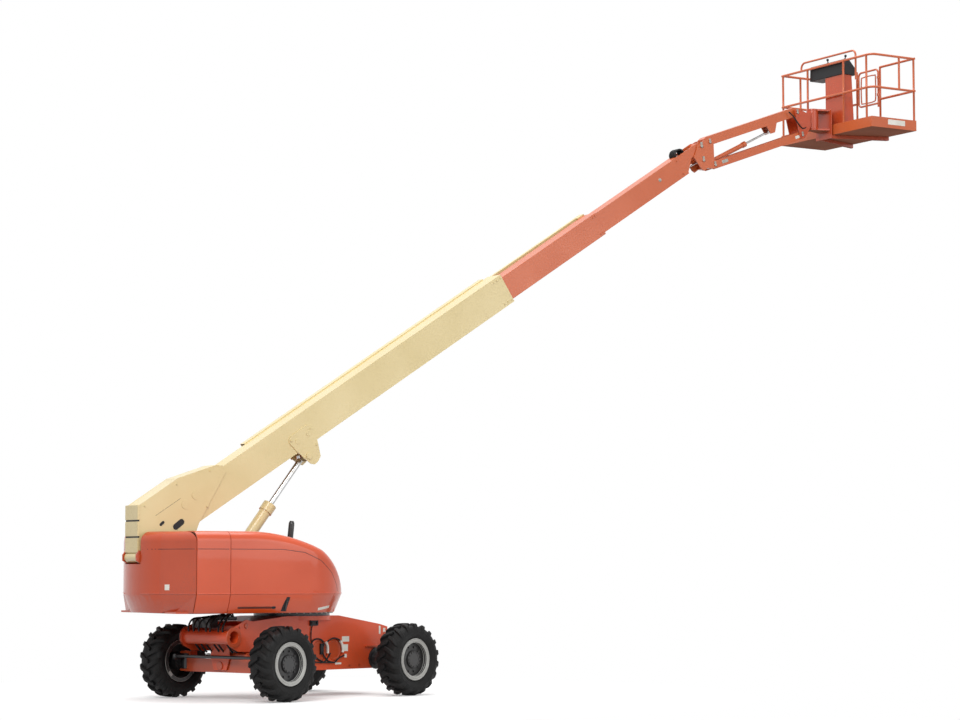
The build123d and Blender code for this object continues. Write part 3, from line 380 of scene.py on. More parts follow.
def addTurned(bm, place, profile, steps=48):  # radius and height pairs turned about the place's Z
    rings = []
    for radius, height in profile:
        if radius == 0:
            rings.append([bm.verts.new(place @ Vector((0, 0, height)))])
            continue
        rings.append([bm.verts.new(place @ Vector((x, y, height))) for x, y in circle(steps, radius)])
    for first, second in zip(rings, rings[1:]):
        for i in range(steps):
            j = (i + 1) % steps
            corners = [first[i % len(first)], first[j % len(first)],
                       second[j % len(second)], second[i % len(second)]]
            corners = list(dict.fromkeys(corners))  # a ring on the axis has one point
            if len(corners) > 2:
                bm.faces.new(corners)


def addHose(bm, points, radius, sides=8, bend=6):  # a smooth closed hose through points
    points = [Vector(p) for p in points]
    path = []
    stretched = [points[0] * 2 - points[1]] + points + [points[-1] * 2 - points[-2]]
    for i in range(1, len(stretched) - 2):
        a, b, c, d = stretched[i - 1:i + 3]
        for step in range(bend):
            t = step / bend
            path.append(0.5 * ((2 * b) + (c - a) * t + (2 * a - 5 * b + 4 * c - d) * t ** 2
                               + (3 * b - a - 3 * c + d) * t ** 3))
    path.append(points[-1])
    rings = []
    lift = None
    for i, spot in enumerate(path):
        ahead = (path[min(i + 1, len(path) - 1)] - path[max(i - 1, 0)]).normalized()
        if lift is None:
            lift = Vector((0, 0, 1)) if abs(ahead.z) < 0.9 else Vector((1, 0, 0))
        side = ahead.cross(lift).normalized()
        lift = side.cross(ahead).normalized()
        angles = [2 * pi * k / sides for k in range(sides)]
        rings.append([bm.verts.new(spot + (side * cos(a) + lift * sin(a)) * radius) for a in angles])
    skinRings(bm, rings)


def assemble(name, material, body, slotName, forms, **finish):  # forms: an add function and what it takes
    bm = bmesh.new()
    for add, *values in forms:
        add(bm, *values)
    pieceFrom(bm, name, material, body, slotName, **finish)


def hosePiece(name, routes, radius, body, material=hoseRubber, slotName="tyre_rubber", sides=8, bend=6):
    forms = [(addHose, route, radius, sides, bend) for route in routes]
    assemble(name, material, body, slotName, forms, sharpAngle=60)


def cap(radius, flat, top, edge, foot=0):  # a round cap's profile, bevelled from its flat top to its edge
    return [(0, top), (flat, top), (radius, edge), (radius, foot), (0, foot)]


# what repeats: one tree sets fasteners on points, another repeats a block around an axle
def startTree(name, sockets):  # a node tree with its inputs, the identifiers of these and its entry
    tree = bpy.data.node_groups.new(name, "GeometryNodeTree")
    ids = {}
    for key, kind in sockets.items():
        ids[key] = tree.interface.new_socket(name=key, in_out="INPUT", socket_type=f"NodeSocket{kind}").identifier
    tree.interface.new_socket(name="Geometry", in_out="OUTPUT", socket_type="NodeSocketGeometry")
    return tree, ids, addNode(tree, "NodeGroupInput")


def bakeTree(piece, tree, ids, values):
    modifier = piece.modifiers.new(tree.name, "NODES")
    modifier.node_group = tree
    for key, value in values.items():
        modifier[ids[key]] = value
    bakeModifiers(piece)


def placeInstances(tree, entry, points, block, rotation):  # one on each point, as plain mesh in the material
    placed = addNode(tree, "GeometryNodeInstanceOnPoints",
                     links={"Points": points, "Instance": block, "Rotation": rotation})
    solid = addNode(tree, "GeometryNodeRealizeInstances", links={"Geometry": placed.outputs[0]})
    coated = addNode(tree, "GeometryNodeSetMaterial", links={"Geometry": solid.outputs[0],
                                                             "Material": entry.outputs["material"]})
    addNode(tree, "NodeGroupOutput", links={"Geometry": coated.outputs[0]})


fastenerSizes = {"headRadius": 0.012, "headHeight": 0.009, "washerRadius": 0.019, "washerHeight": 0.003}


def makeFastenerTree():
    sockets = {"points": "Geometry", **{key: "Float" for key in fastenerSizes}, "material": "Material"}
    tree, ids, entry = startTree("fasteners on points", sockets)
    head = addNode(tree, "GeometryNodeMeshCylinder", {"Vertices": 6},
                   {"Radius": entry.outputs["headRadius"], "Depth": entry.outputs["headHeight"]})
    halfHead = calculate(tree, "MULTIPLY", entry.outputs["headHeight"], 0.5)
    middle = calculate(tree, "ADD", halfHead, entry.outputs["washerHeight"])
    lifted = addNode(tree, "ShaderNodeCombineXYZ", links={"Z": middle})
    head = addNode(tree, "GeometryNodeTransform", links={"Geometry": head.outputs["Mesh"],
                                                         "Translation": lifted.outputs[0]})
    washer = addNode(tree, "GeometryNodeMeshCylinder", {"Vertices": 14},
                     {"Radius": entry.outputs["washerRadius"], "Depth": entry.outputs["washerHeight"]})
    both = addNode(tree, "GeometryNodeJoinGeometry")
    tree.links.new(head.outputs["Geometry"], both.inputs[0])
    tree.links.new(washer.outputs["Mesh"], both.inputs[0])
    facing = addNode(tree, "GeometryNodeInputNamedAttribute", {"Name": "facing"}, data_type="FLOAT_VECTOR")
    turned = addNode(tree, "FunctionNodeAlignEulerToVector", links={"Vector": facing.outputs["Attribute"]},
                     axis="Z")
    placeInstances(tree, entry, entry.outputs["points"], both.outputs[0], turned.outputs[0])
    return tree, ids


fastenerTree, fastenerIds = makeFastenerTree()


def addFasteners(name, spots, body, slotName, material=zincPlate, **sizes):  # spots pair a place and a facing
    mesh = bpy.data.meshes.new(name)
    mesh.from_pydata([tuple(p) for p, n in spots], [], [])
    facing = mesh.attributes.new("facing", "FLOAT_VECTOR", "POINT")
    facing.data.foreach_set("vector", [c for p, n in spots for c in Vector(n).normalized()])
    piece = addObject(name, mesh)
    bakeTree(piece, fastenerTree, fastenerIds, {**fastenerSizes, **sizes, "material": material})
    smoothPiece(piece.data, 25)
    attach(piece, body)
    return piece


def makeAroundTree():
    sockets = {"block": "Geometry", "count": "Int", "start": "Float", "material": "Material"}
    tree, ids, entry = startTree("blocks around an axle", sockets)
    points = addNode(tree, "GeometryNodePoints", links={"Count": entry.outputs["count"]})
    number = addNode(tree, "GeometryNodeInputIndex")
    share = calculate(tree, "DIVIDE", number.outputs[0], entry.outputs["count"])
    whole = calculate(tree, "MULTIPLY", share, 2 * pi)
    angle = calculate(tree, "ADD", whole, entry.outputs["start"])
    spin = addNode(tree, "ShaderNodeCombineXYZ", links={"Z": angle})
    placeInstances(tree, entry, points.outputs[0], entry.outputs["block"], spin.outputs[0])
    return tree, ids


aroundTree, aroundIds = makeAroundTree()


def repeatAround(name, bm, count, start, material):  # returns the mesh of a block repeated about Z
    bmesh.ops.recalc_face_normals(bm, faces=bm.faces)
    piece = objectFrom(bm, name)
    bakeTree(piece, aroundTree, aroundIds, {"count": count, "start": start, "material": material})
    made = piece.data
    bpy.data.objects.remove(piece)
    return made


# the solids' own surfaces, with their edges rounded
edgeWidths = {
    "usual": 0.004, "hood_right": 0.003, "hood_left": 0.003, "side_panels": 0.003, "base_boom": 0.006,
    "mid_boom": 0.005, "fly_boom": 0.005, "jib_rod": 0.002, "level_rod": 0.002, "steer_rod": 0.002,
    "lift_rod": 0.003, "platform_tray": 0.0015, "engine_block": 0.03, "tank_block": 0.05, "console": 0.012,
    "console_cabinet": 0.0015,
}
roundTubes = {"gate", "rails_near", "rails_far", "rails_ends", "exhaust_pipe"}
redrawn = {n for n in frame["nodes"] if n.startswith("tyre_")}
flatWithin = radians(0.6)  # faces that differ by less are one flat face
edgeFrom = 34  # degrees between two faces from which their edge is rounded
undersideBelow = -0.7  # the normal's height from which a platform face counts as underside and gets the painted shade
# the chassis frame takes the brightened orange, which is painted light
repainted = {"push_tube": creamEnamel, "steer_axle": orangeEnamel, "chassis_frame": litChassisOrange}
for name in ("mid_boom", "fly_boom", "jib_barrel", "jib_upper_arm", "jib_lower_arm", "jib_bracket",
             "platform_tray", "rails_near", "rails_far", "rails_ends", "gate"):
    repainted[name] = boomOrange

dressed = {}
for name, node in frame["nodes"].items():
    if name in redrawn:
        continue
    bm = bmesh.new()
    bm.from_mesh(node.data)
    bmesh.ops.remove_doubles(bm, verts=bm.verts, dist=mergeDistance)
    bmesh.ops.dissolve_limit(bm, angle_limit=flatWithin, use_dissolve_boundaries=False, verts=bm.verts,
                             edges=bm.edges)
    width = 0.0 if name in roundTubes else edgeWidths.get(name, edgeWidths["usual"])
    piece = objectFrom(bm, name + "_surface")
    if width:
        bakeBevel(piece, width, edgeFrom)
    piece.data.materials.clear()
    piece.data.materials.append(repainted.get(name, slotMaterials[nodeSlot[name]]))
    # the platform's downward faces take the darker orange: painted shade
    if name in ("platform_tray", "platform_support"):
        piece.data.materials.append(shadedUndersideOrange)
        for polygon in piece.data.polygons:
            polygon.material_index = 1 if polygon.normal.z < undersideBelow else 0
    smoothPiece(piece.data, 30)
    if width:
        evenNormals(piece)
    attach(piece, nodeBody[name])
    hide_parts(name)
    dressed[name] = piece
print("surfaces dressed:", len(dressed))

# tyres: a moulded carcass with two rows of angled lugs
tyreSizes = {"radius": 0.505, "lugs": 18, "lugWidth": 0.062, "lugRound": 0.006}
halfBase = 1.24
halfTrack = 1.0575
wheelPlaces = {f"{end}_{hand}": (ahead * halfBase, side * halfTrack, side)
               for end, ahead in (("front", -1), ("rear", 1)) for hand, side in (("right", -1), ("left", 1))}
rimDisc = {"radius": 0.238, "face": 0.1495}  # what lies inside is charcoal
beadRings = {
    # radius, height over the wheel's middle plane and thickness
    "flange": (0.2875, 0.1515, 0.006), "seat": (0.2575, 0.1505, 0.005), "lip": (0.2385, 0.128, 0.005),
    "disc": (0.2365, 0.096, 0.004),
}
hubFasteners = {
    # count, radius and height
    "nuts": (10, 0.175, 0.071), "hub bolts": (12, 0.1, 0.1185),
}


def lugBlock(side):
    # stations across the tread: axial place, foot radius, tip radius, half width, turn
    half = tyreSizes["lugWidth"] / 2
    stations = [(-0.012, 0.455, 0.504, half * 0.8, 0.0), (0.06, 0.455, 0.505, half, 0.07),
                (0.13, 0.448, 0.502, half * 1.1, 0.15), (0.163, 0.435, 0.486, half * 1.15, 0.19),
                (0.181, 0.40, 0.448, half * 1.1, 0.215), (0.1865, 0.38, 0.412, half * 0.9, 0.23),
                (0.184, 0.372, 0.395, half * 0.6, 0.235)]
    bm = bmesh.new()
    rings = []
    for axial, foot, tip, halfWidth, turn in stations:
        ring = []
        for radius, offset in ((foot, -1.15), (tip, -0.85), (tip, 0.85), (foot, 1.15)):
            angle = turn + offset * halfWidth / radius
            ring.append(bm.verts.new((radius * cos(angle), radius * sin(angle), side * axial)))
        rings.append(ring)
    skinRings(bm, rings)
    return bm


def tyreCarcass():
    bm = bmesh.new()
    side = [(0.2505, 0.133), (0.292, 0.134), (0.304, 0.150), (0.316, 0.158), (0.320, 0.164), (0.330, 0.164),
            (0.335, 0.170), (0.365, 0.181), (0.385, 0.184), (0.388, 0.1865), (0.394, 0.1865), (0.398, 0.184),
            (0.425, 0.180), (0.448, 0.166), (0.462, 0.140), (0.468, 0.09), (0.469, 0.0)]
    profile = side + [(r, -w) for r, w in reversed(side[:-1])] + [side[0]]
    addTurned(bm, Matrix.Identity(4), profile, 96)
    return bm


for name, (u, v, side) in wheelPlaces.items():
    body = f"wheel_{name}"
    place = frameAt(chassisPlace(u, v, tyreSizes["radius"]), forwardU, across * side)
    bm = tyreCarcass()
    for rowSide, start in ((1, 0.0), (-1, pi / tyreSizes["lugs"])):
        block = lugBlock(rowSide)
        bmesh.ops.bevel(block, geom=list(block.edges), offset=tyreSizes["lugRound"], segments=1,
                        affect="EDGES", profile=0.5, clamp_overlap=True)
        row = repeatAround("lug row", block, tyreSizes["lugs"], start, tyreRubber)
        bm.from_mesh(row)
    bmesh.ops.transform(bm, matrix=place, verts=bm.verts)
    piece = pieceFrom(bm, f"tyre_{name}_lugged", tyreRubber, body, "tyre_rubber", sharpAngle=38)
    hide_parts(f"tyre_{name}")
    disc = dressed[f"rim_{name}"]
    disc.data.materials.append(rimDark)
    inward = place.inverted()
    for polygon in disc.data.polygons:
        spot = inward @ polygon.center
        if hypot(spot.x, spot.y) < rimDisc["radius"] and spot.z < rimDisc["face"]:
            polygon.material_index = 1
    bm = bmesh.new()
    for radius, height, thick in beadRings.values():
        angles = [2 * pi * k / 12 for k in range(12)]
        ring = [(radius + thick * cos(a), height + thick * sin(a)) for a in angles]
        addTurned(bm, place, ring + ring[:1], 72)
    pieceFrom(bm, f"bead_rings_{name}", rimEnamel, body, "silver_paint", sharpAngle=50)
    spots = [(place @ Vector((x, y, height)), across * side)
             for count, radius, height in hubFasteners.values() for x, y in circle(count, radius)]
    addFasteners(f"wheel_nuts_{name}", spots, body, "silver_paint", rimDark, headRadius=0.014,
                 headHeight=0.016, washerRadius=0.02)
print("wheels made")


# lines and patches laid on the cowls' skins, found by casting onto each surface
def skinTree(name):
    mesh = dressed[name].data
    return BVHTree.FromPolygons([v.co for v in mesh.vertices], [p.vertices for p in mesh.polygons])


castFrom = 3.0  # the rays start this far from the middle plane, outside every skin


def layOn(tree, start, direction):
    spot, normal, index, reach = tree.ray_cast(Vector(start), Vector(direction), 2 * castFrom)
    if spot is None:
        return None
    return spot, normal if normal.dot(Vector(direction)) < 0 else -normal


stripShapes = {
    # half width, then the section in shares of it
    "groove": (0.0055, [(-1.0, -0.2), (-0.8, 0.06), (0.8, 0.06), (1.0, -0.2)]),
    "bead": (0.008, [(-1.0, -0.3), (-0.75, 0.6), (0.0, 0.95), (0.75, 0.6), (1.0, -0.3)]),
}


def addStrip(bm, hits, shape):
    halfWidth, section = stripShapes[shape]
    hits = [h for h in hits if h]
    if len(hits) < 3:
        return
    rings = []
    for i, (spot, normal) in enumerate(hits):
        ahead = hits[min(i + 1, len(hits) - 1)][0] - hits[max(i - 1, 0)][0]
        side = normal.cross(ahead).normalized()
        rings.append([bm.verts.new(spot + side * a * halfWidth + normal * b * halfWidth) for a, b in section])
    skinRings(bm, rings, closed=False)


def addPatch(bm, tree, starts, direction, rise=0.001, sink=0.002):  # a thin film over a grid of starts
    top = []
    for row in starts:
        top.append([])
        for start in row:
            hit = layOn(tree, start, direction)
            if hit is None:
                return
            top[-1].append((bm.verts.new(hit[0] + hit[1] * rise), bm.verts.new(hit[0] - hit[1] * sink)))
    rows, columns = len(top), len(top[0])
    for i in range(rows - 1):
        for j in range(columns - 1):
            bm.faces.new([top[a][b][0] for a, b in ((i, j), (i + 1, j), (i + 1, j + 1), (i, j + 1))])
    rim = [top[0][j] for j in range(columns)] + [top[i][-1] for i in range(1, rows)]
    rim += [top[-1][j] for j in range(columns - 2, -1, -1)] + [top[i][0] for i in range(rows - 2, 0, -1)]
    for first, second in zip(rim, rim[1:] + rim[:1]):
        bm.faces.new((first[0], second[0], second[1], first[1]))


def spread(first, last, count):
    return [first + (last - first) * i / (count - 1) for i in range(count)]


groove = {
    # corners along and up the cowl, and the spacing of the rays along them
    "path": [(-2.43, 2.03), (-0.76, 2.03), (-0.42, 1.99), (-0.16, 1.88), (0.04, 1.72), (0.15, 1.56),
             (0.195, 1.44)],
    "spacing": 0.03,
}
belt = {
    # height, the runs along each skin or across the tail, and the turn around the hood's nose
    "height": 1.437, "counterweight": (1.19, 0.262), "side_panels": (-2.0145, -1.5305),
    "hood": (-1.519, -0.33), "noseCentre": (-0.321, 0.3453), "noseTurn": 89, "noseSteps": 30,
}
hoods = {-1: "hood_right", 1: "hood_left"}


def grooveStarts(side):
    starts = []
    for (x1, z1), (x2, z2) in zip(groove["path"], groove["path"][1:]):
        count = max(3, int(hypot(x2 - x1, z2 - z1) / groove["spacing"]))
        starts += [(x1 + (x2 - x1) * i / count, side * castFrom, z1 + (z2 - z1) * i / count)
                   for i in range(count)]
    return starts


def noseSpots(side):  # around the hood's nose, with the way to look
    x, y = belt["noseCentre"]
    spots = []
    for step in range(belt["noseSteps"] + 1):
        angle = radians(belt["noseTurn"]) * step / belt["noseSteps"]
        out = Vector((sin(angle), side * cos(angle), 0))
        spots.append((Vector((x, side * y, belt["height"])) + out * 2, -out))
    return spots


def beltHits(tree, name, side):
    if name == "counterweight":
        return [layOn(tree, (-castFrom, side * y, belt["height"]), (1, 0, 0)) for y in spread(*belt[name], 60)]
    run = belt.get(name, belt["hood"])
    hits = [layOn(tree, (x, side * castFrom, belt["height"]), (0, -side, 0)) for x in spread(*run, 40)]
    if name != "side_panels":
        hits += [layOn(tree, start, way) for start, way in noseSpots(side)]
    return hits


for side, hood in hoods.items():
    for name in (hood, "side_panels", "counterweight"):
        tree, body, slotName = skinTree(name), nodeBody[name], nodeSlot[name]
        bm = bmesh.new()
        # the groove is a thin dark strip on the skin: painted shade where the groove lies
        addStrip(bm, [layOn(tree, start, (0, -side, 0)) for start in grooveStarts(side)], "groove")
        if len(bm.verts):
            pieceFrom(bm, f"groove_{name}_{side + 1}", seamShadow, body, slotName)
        else:
            bm.free()
        bm = bmesh.new()
        addStrip(bm, beltHits(tree, name, side), "bead")
        pieceFrom(bm, f"belt_{name}_{side + 1}", slotMaterials[slotName], body, slotName, sharpAngle=60)


skirt = {"slope": 21.8, "half": 1.2, "top": 1.43, "draw": 0.4}  # draw: how far it draws in for its height


def skirtPlace(x, z, side):  # on the sloped skirt, X ahead and Y up it
    slope = radians(skirt["slope"])
    upward = Vector((0, side * sin(slope), cos(slope)))
    outward = Vector((0, side * cos(slope), -sin(slope)))
    turn = Matrix((Vector((1, 0, 0)), upward, outward)).transposed().to_4x4()
    half = skirt["half"] - (skirt["top"] - z) * skirt["draw"]
    return Matrix.Translation(Vector((x, side * half, z))) @ turn


def roundRect(width, height, radius, steps=4):
    least = 0.0001  # the straight stretch that is left, so that no two points meet
    radius = min(radius, width / 2 - least, height / 2 - least)
    outline = []
    for cx, cy, start in ((1, 1, 0), (-1, 1, 90), (-1, -1, 180), (1, -1, 270)):
        for step in range(steps + 1):
            angle = radians(start + 90 * step / steps)
            outline.append((cx * (width / 2 - radius) + radius * cos(angle),
                            cy * (height / 2 - radius) + radius * sin(angle)))
    return outline


latchOutline = [(-0.083, -0.085), (-0.005, -0.088), (0.002, -0.01), (0.024, 0.118), (-0.026, 0.12),
                (-0.064, 0.01)]
hoodFittings = {
    # material, slot, rounding, place along and up the skirt, outline, depth and rise
    "latch_pocket": (blackPlastic, "console_plastic", 0.002, -0.652, 1.28, latchOutline, -0.006, 0.004),
    "latch_handle": (blackEnamel, "console_plastic", 0.002, -0.672, 1.27, roundRect(0.022, 0.1, 0.011), 0.002, 0.014),
    # the step slot is a flat dark plate: painted shade in the slot's recess
    "step_slot": (seamShadow, "orange_shell", 0.0, -1.105, 1.25, roundRect(0.57, 0.03, 0.014), -0.004, 0.0012),
    "slot_catch": (blackPlastic, "console_plastic", 0.001, -0.85, 1.25, roundRect(0.055, 0.036, 0.01), -0.004, 0.003),
}
latchKnob = {"place": (-0.668, 1.335), "profile": cap(0.013, 0.011, 0.016, 0.012)}
hoodStrip = {"along": (-0.165, 0.045), "up": (1.205, 1.24), "climb": 0.16}
tailLabel = {"across": (0.66, 0.74), "up": (1.485, 1.56)}
for side, name in hoods.items():
    for fitting, (material, slotName, rounding, x, z, outline, near, far) in hoodFittings.items():
        forms = [(addPlate, skirtPlace(x, z, side), outline, near, far)]
        if fitting == "latch_handle":
            forms.append((addTurned, skirtPlace(*latchKnob["place"], side), latchKnob["profile"], 20))
        assemble(f"{fitting}_{name}", material, name, slotName, forms, bevel=rounding)
    grid = [[(x, side * castFrom, z + (x - hoodStrip["along"][0]) * hoodStrip["climb"])
             for z in spread(*hoodStrip["up"], 3)] for x in spread(*hoodStrip["along"], 8)]
    assemble(f"blank_strip_{name}", blankVinyl, name, "orange_shell",
             [(addPatch, skinTree(name), grid, (0, -side, 0))])
grids = [[[(-castFrom, side * y, z) for z in spread(*tailLabel["up"], 3)]
          for y in spread(*tailLabel["across"], 4)] for side in (-1, 1)]
assemble("blank_tail_labels", blankVinyl, "turntable", "cast_weight",
         [(addPatch, skinTree("counterweight"), grid, (1, 0, 0)) for grid in grids])

# the corners that close the skirt between the side panels and the tail
skirtCorner = {"belt": (-2.025, 1.194, 1.428), "panel": (-2.025, 1.096, 1.183), "tail": (-2.12, 0.706, 1.183),
               "inner": (-2.025, 0.92, 1.183)}
bm = bmesh.new()
for side in (-1, 1):
    top, panel, tail, inner = [bm.verts.new((x, side * y, z)) for x, y, z in skirtCorner.values()]
    for corners in ((top, panel, tail), (top, tail, inner), (top, inner, panel), (panel, inner, tail)):
        bm.faces.new(corners)
pieceFrom(bm, "skirt_corners", counterOrange, "turntable", "cast_weight", bevel=0.004)

exhaustSleeve = {
    "end": (-0.150, -0.282, 2.43), "lean": (0.099504, 0, 0.995037),
    "profile": [(0, 0.0), (0.018, -0.002), (0.031, -0.01), (0.039, -0.026), (0.041, -0.05), (0.041, -0.27),
                (0.036, -0.285), (0, -0.285)],
}
place = frameAt(exhaustSleeve["end"], (1, 0, 0), exhaustSleeve["lean"])
assemble("exhaust_sleeve", blackEnamel, "turntable", "black_paint",
         [(addTurned, place, exhaustSleeve["profile"], 32)], sharpAngle=50)
print("cowl lines laid")


# chassis: covers, hoses, brackets and blank labels on its sides
sidePlateHalf = 0.45  # from the middle to a side plate's outer face


def chassisSide(u, z, out=sidePlateHalf, side=-1):
    return frameAt(chassisPlace(u, side * out, z), forwardU * -side, across * side)


chassisLabels = {
    # centre along and up the side plate, width and height
    "grid": (0.62, 0.789, 0.145, 0.075), "row": (0.619, 0.667, 0.1, 0.095), "dot": (0.62, 0.556, 0.05, 0.05),
    "strip": (0.471, 0.452, 0.125, 0.026), "axle_a": (1.325, 0.905, 0.035, 0.115),
    "axle_b": (1.42, 0.9, 0.045, 0.06), "steer": (-1.455, 0.87, 0.04, 0.12),
}
assemble("blank_chassis_labels", blankVinyl, "chassis", "orange_paint",
         [(addPlate, chassisSide(u, z, side=side), roundRect(width, height, 0.006))
          for u, z, width, height in chassisLabels.values() for side in (-1, 1)])

serviceCover = {
    "along": (0.11, 0.4), "height": 0.64, "out": 0.432,
    "profile": [(0, 0.006), (0.118, 0.006), (0.124, 0.011), (0.14, 0.011), (0.145, 0.006), (0.145, -0.006),
                (0, -0.006)],
}
assemble("service_covers", orangeEnamel, "chassis", "orange_paint",
         [(addTurned, chassisSide(u, serviceCover["height"], serviceCover["out"], side), serviceCover["profile"])
          for side in (-1, 1) for u in serviceCover["along"]])

chassisHoses = {
    # each hose as (u, z) points along the side plate, with its radius
    "arc_left": ([(-0.09, 0.66), (-0.06, 0.765), (0.035, 0.802), (0.13, 0.78), (0.17, 0.7)], 0.011),
    "arc_right": ([(0.225, 0.7), (0.25, 0.762), (0.37, 0.806), (0.49, 0.772), (0.545, 0.68)], 0.011),
    "cross_a": ([(-0.05, 0.585), (0.06, 0.52), (0.165, 0.482), (0.225, 0.51), (0.3, 0.6)], 0.011),
    "cross_b": ([(0.13, 0.62), (0.19, 0.545), (0.265, 0.49), (0.385, 0.472), (0.46, 0.52), (0.58, 0.565)],
                0.011),
    "low": ([(-0.12, 0.5), (0.05, 0.478), (0.24, 0.47), (0.385, 0.468)], 0.009),
    "drop": ([(-0.06, 1.0), (-0.082, 0.93), (-0.088, 0.84), (-0.08, 0.76)], 0.008),
}
hoseLine = -0.464  # how far the hoses' middles lie from the chassis's middle
assemble("chassis_hoses", hoseRubber, "chassis", "tyre_rubber",
         [(addHose, [chassisPlace(u, hoseLine, z) for u, z in points], radius)
          for points, radius in chassisHoses.values()], sharpAngle=60)

hoseSleeves = {
    "line": -0.468, "radius": 0.019, "routes": ([(0.205, 0.755), (0.232, 0.71), (0.243, 0.65), (0.24, 0.6)],
                                                [(0.492, 0.765), (0.53, 0.715), (0.548, 0.65), (0.54, 0.605)]),
}
routes = [[chassisPlace(u, hoseSleeves["line"], z) for u, z in route] for route in hoseSleeves["routes"]]
hosePiece("hose_sleeves", routes, hoseSleeves["radius"], "chassis", blankVinyl, "orange_paint", sides=10)

valveBrackets = {
    # blocks as place and size, then the plugs on the upper one
    "blocks": (((0.14, 0.66), (0.06, 0.15, 0.03)), ((-0.03, 1.05), (0.155, 0.13, 0.05))),
    "plugs": (0.02, -0.08), "plugHeight": 1.02, "plugOut": 0.475,
    "plugProfile": cap(0.018, 0.014, 0.018, 0.012),
}
forms = [(addBlock, chassisSide(*place), size) for place, size in valveBrackets["blocks"]]
forms += [(addTurned, chassisSide(u, valveBrackets["plugHeight"], valveBrackets["plugOut"]),
           valveBrackets["plugProfile"], 16) for u in valveBrackets["plugs"]]
assemble("valve_brackets", blackPlastic, "chassis", "console_plastic", forms, bevel=0.004)

sideRibs = {
    "bar": (1.14, 0.678, 0.462), "barSize": (0.24, 0.022, 0.024),
    "ring": (-1.56, 0.85), "ringProfile": [(0.086, 0.0), (0.086, 0.012), (0.135, 0.012), (0.14, 0.007), (0.14, 0.0)],
    "boss": (-1.33, 1.0), "bossProfile": cap(0.036, 0.03, 0.014, 0.008),
}
forms = []
for side in (-1, 1):
    forms += [(addBlock, chassisSide(*sideRibs["bar"], side), sideRibs["barSize"]),
              (addTurned, chassisSide(*sideRibs["ring"], side=side), sideRibs["ringProfile"]),
              (addTurned, chassisSide(*sideRibs["boss"], side=side), sideRibs["bossProfile"], 24)]
assemble("side_plate_ribs", orangeEnamel, "chassis", "orange_paint", forms, bevel=0.002)

# hoses and the manifold over the steered end
steerManifold = (((-1.47, 0.2, 1.03), (0.16, 0.34, 0.12)), ((-1.27, 0.1, 1.1), (0.14, 0.5, 0.05)))
steerHoses = {
    # their places across, then the route: along, share of the place across, height, drop from hose to hose
    "across": (-0.3, -0.22, -0.06, 0.02, 0.16, 0.26, 0.36), "radius": 0.013,
    "route": [(-1.25, 0.4, 1.13, 0), (-1.4, 0.8, 1.17, 0.01), (-1.56, 1, 1.08, 0), (-1.62, 1, 0.93, 0),
              (-1.46, 1.05, 0.74, 0), (-1.36, 1.05, 0.64, 0)],
}
forms = [(addBlock, frameAt(chassisPlace(*place), forwardU, (0, 0, 1)), size) for place, size in steerManifold]
assemble("steer_manifold", blackEnamel, "chassis", "black_paint", forms, bevel=0.008)
routes = [[chassisPlace(u, v * share, z - drop * k) for u, share, z, drop in steerHoses["route"]]
          for k, v in enumerate(steerHoses["across"])]
hosePiece("steer_hoses", routes, steerHoses["radius"], "chassis")

bearingBolts = {"count": 36, "radius": 0.565, "height": 1.1722}
spots = [(Vector((x, y, bearingBolts["height"])), (0, 0, -1))
         for x, y in circle(bearingBolts["count"], bearingBolts["radius"])]
addFasteners("bearing_bolts", spots, "turntable", "black_paint", headRadius=0.014, headHeight=0.014,
             washerRadius=0.018)
sidePlateBolts = ((-1.45, 0.98), (-1.64, 0.86), (1.42, 0.5), (1.42, 0.86), (0.9, 0.42), (0.7, 0.42), (-0.55, 0.42))
spots = [(chassisPlace(u, side * sidePlateHalf, z), across * side) for side in (-1, 1) for u, z in sidePlateBolts]
addFasteners("side_plate_bolts", spots, "chassis", "orange_paint", orangeEnamel, headRadius=0.013)
print("chassis dressed")


# boom: tail covers, slots, wear-pad bolts and hoses
def boomSide(x, z, half, side):
    return frameAt(boomPlace(x, side * half, z), boomVector(-side, 0), (0, side, 0))


def boomVector(x, z):
    return tilted((0, 0), boomAngle, x, 0, z)


tailCovers = {
    # the tail plate's lower corner and its run in the boom's plane, then the covers up it
    "corner": (0.002, 0.07), "run": (0.541, 0.841), "count": 3, "first": 0.105, "pitch": 0.22,
    "cover": (0.198, 0.412, 0.04), "gap": (0.03, 0.404, 0.02),
}


def tailPlace(reach):
    (x, z), (runX, runZ) = tailCovers["corner"], tailCovers["run"]
    return frameAt(boomPlace(x + runX * reach, 0, z + runZ * reach), boomVector(runX, runZ),
                   boomVector(-runZ, runX))


reaches = [tailCovers["first"] + k * tailCovers["pitch"] for k in range(tailCovers["count"])]
assemble("tail_covers", creamEnamel, "base_boom", "cream_paint",
         [(addBlock, tailPlace(reach), tailCovers["cover"]) for reach in reaches], bevel=0.005)
# black strips in the gaps between the covers: painted shade of the plate behind them
assemble("tail_cover_gap_shade", blackPlastic, "base_boom", "cream_paint",
         [(addBlock, tailPlace(reach - tailCovers["pitch"] / 2), tailCovers["gap"]) for reach in reaches[1:]],
         bevel=0.001)

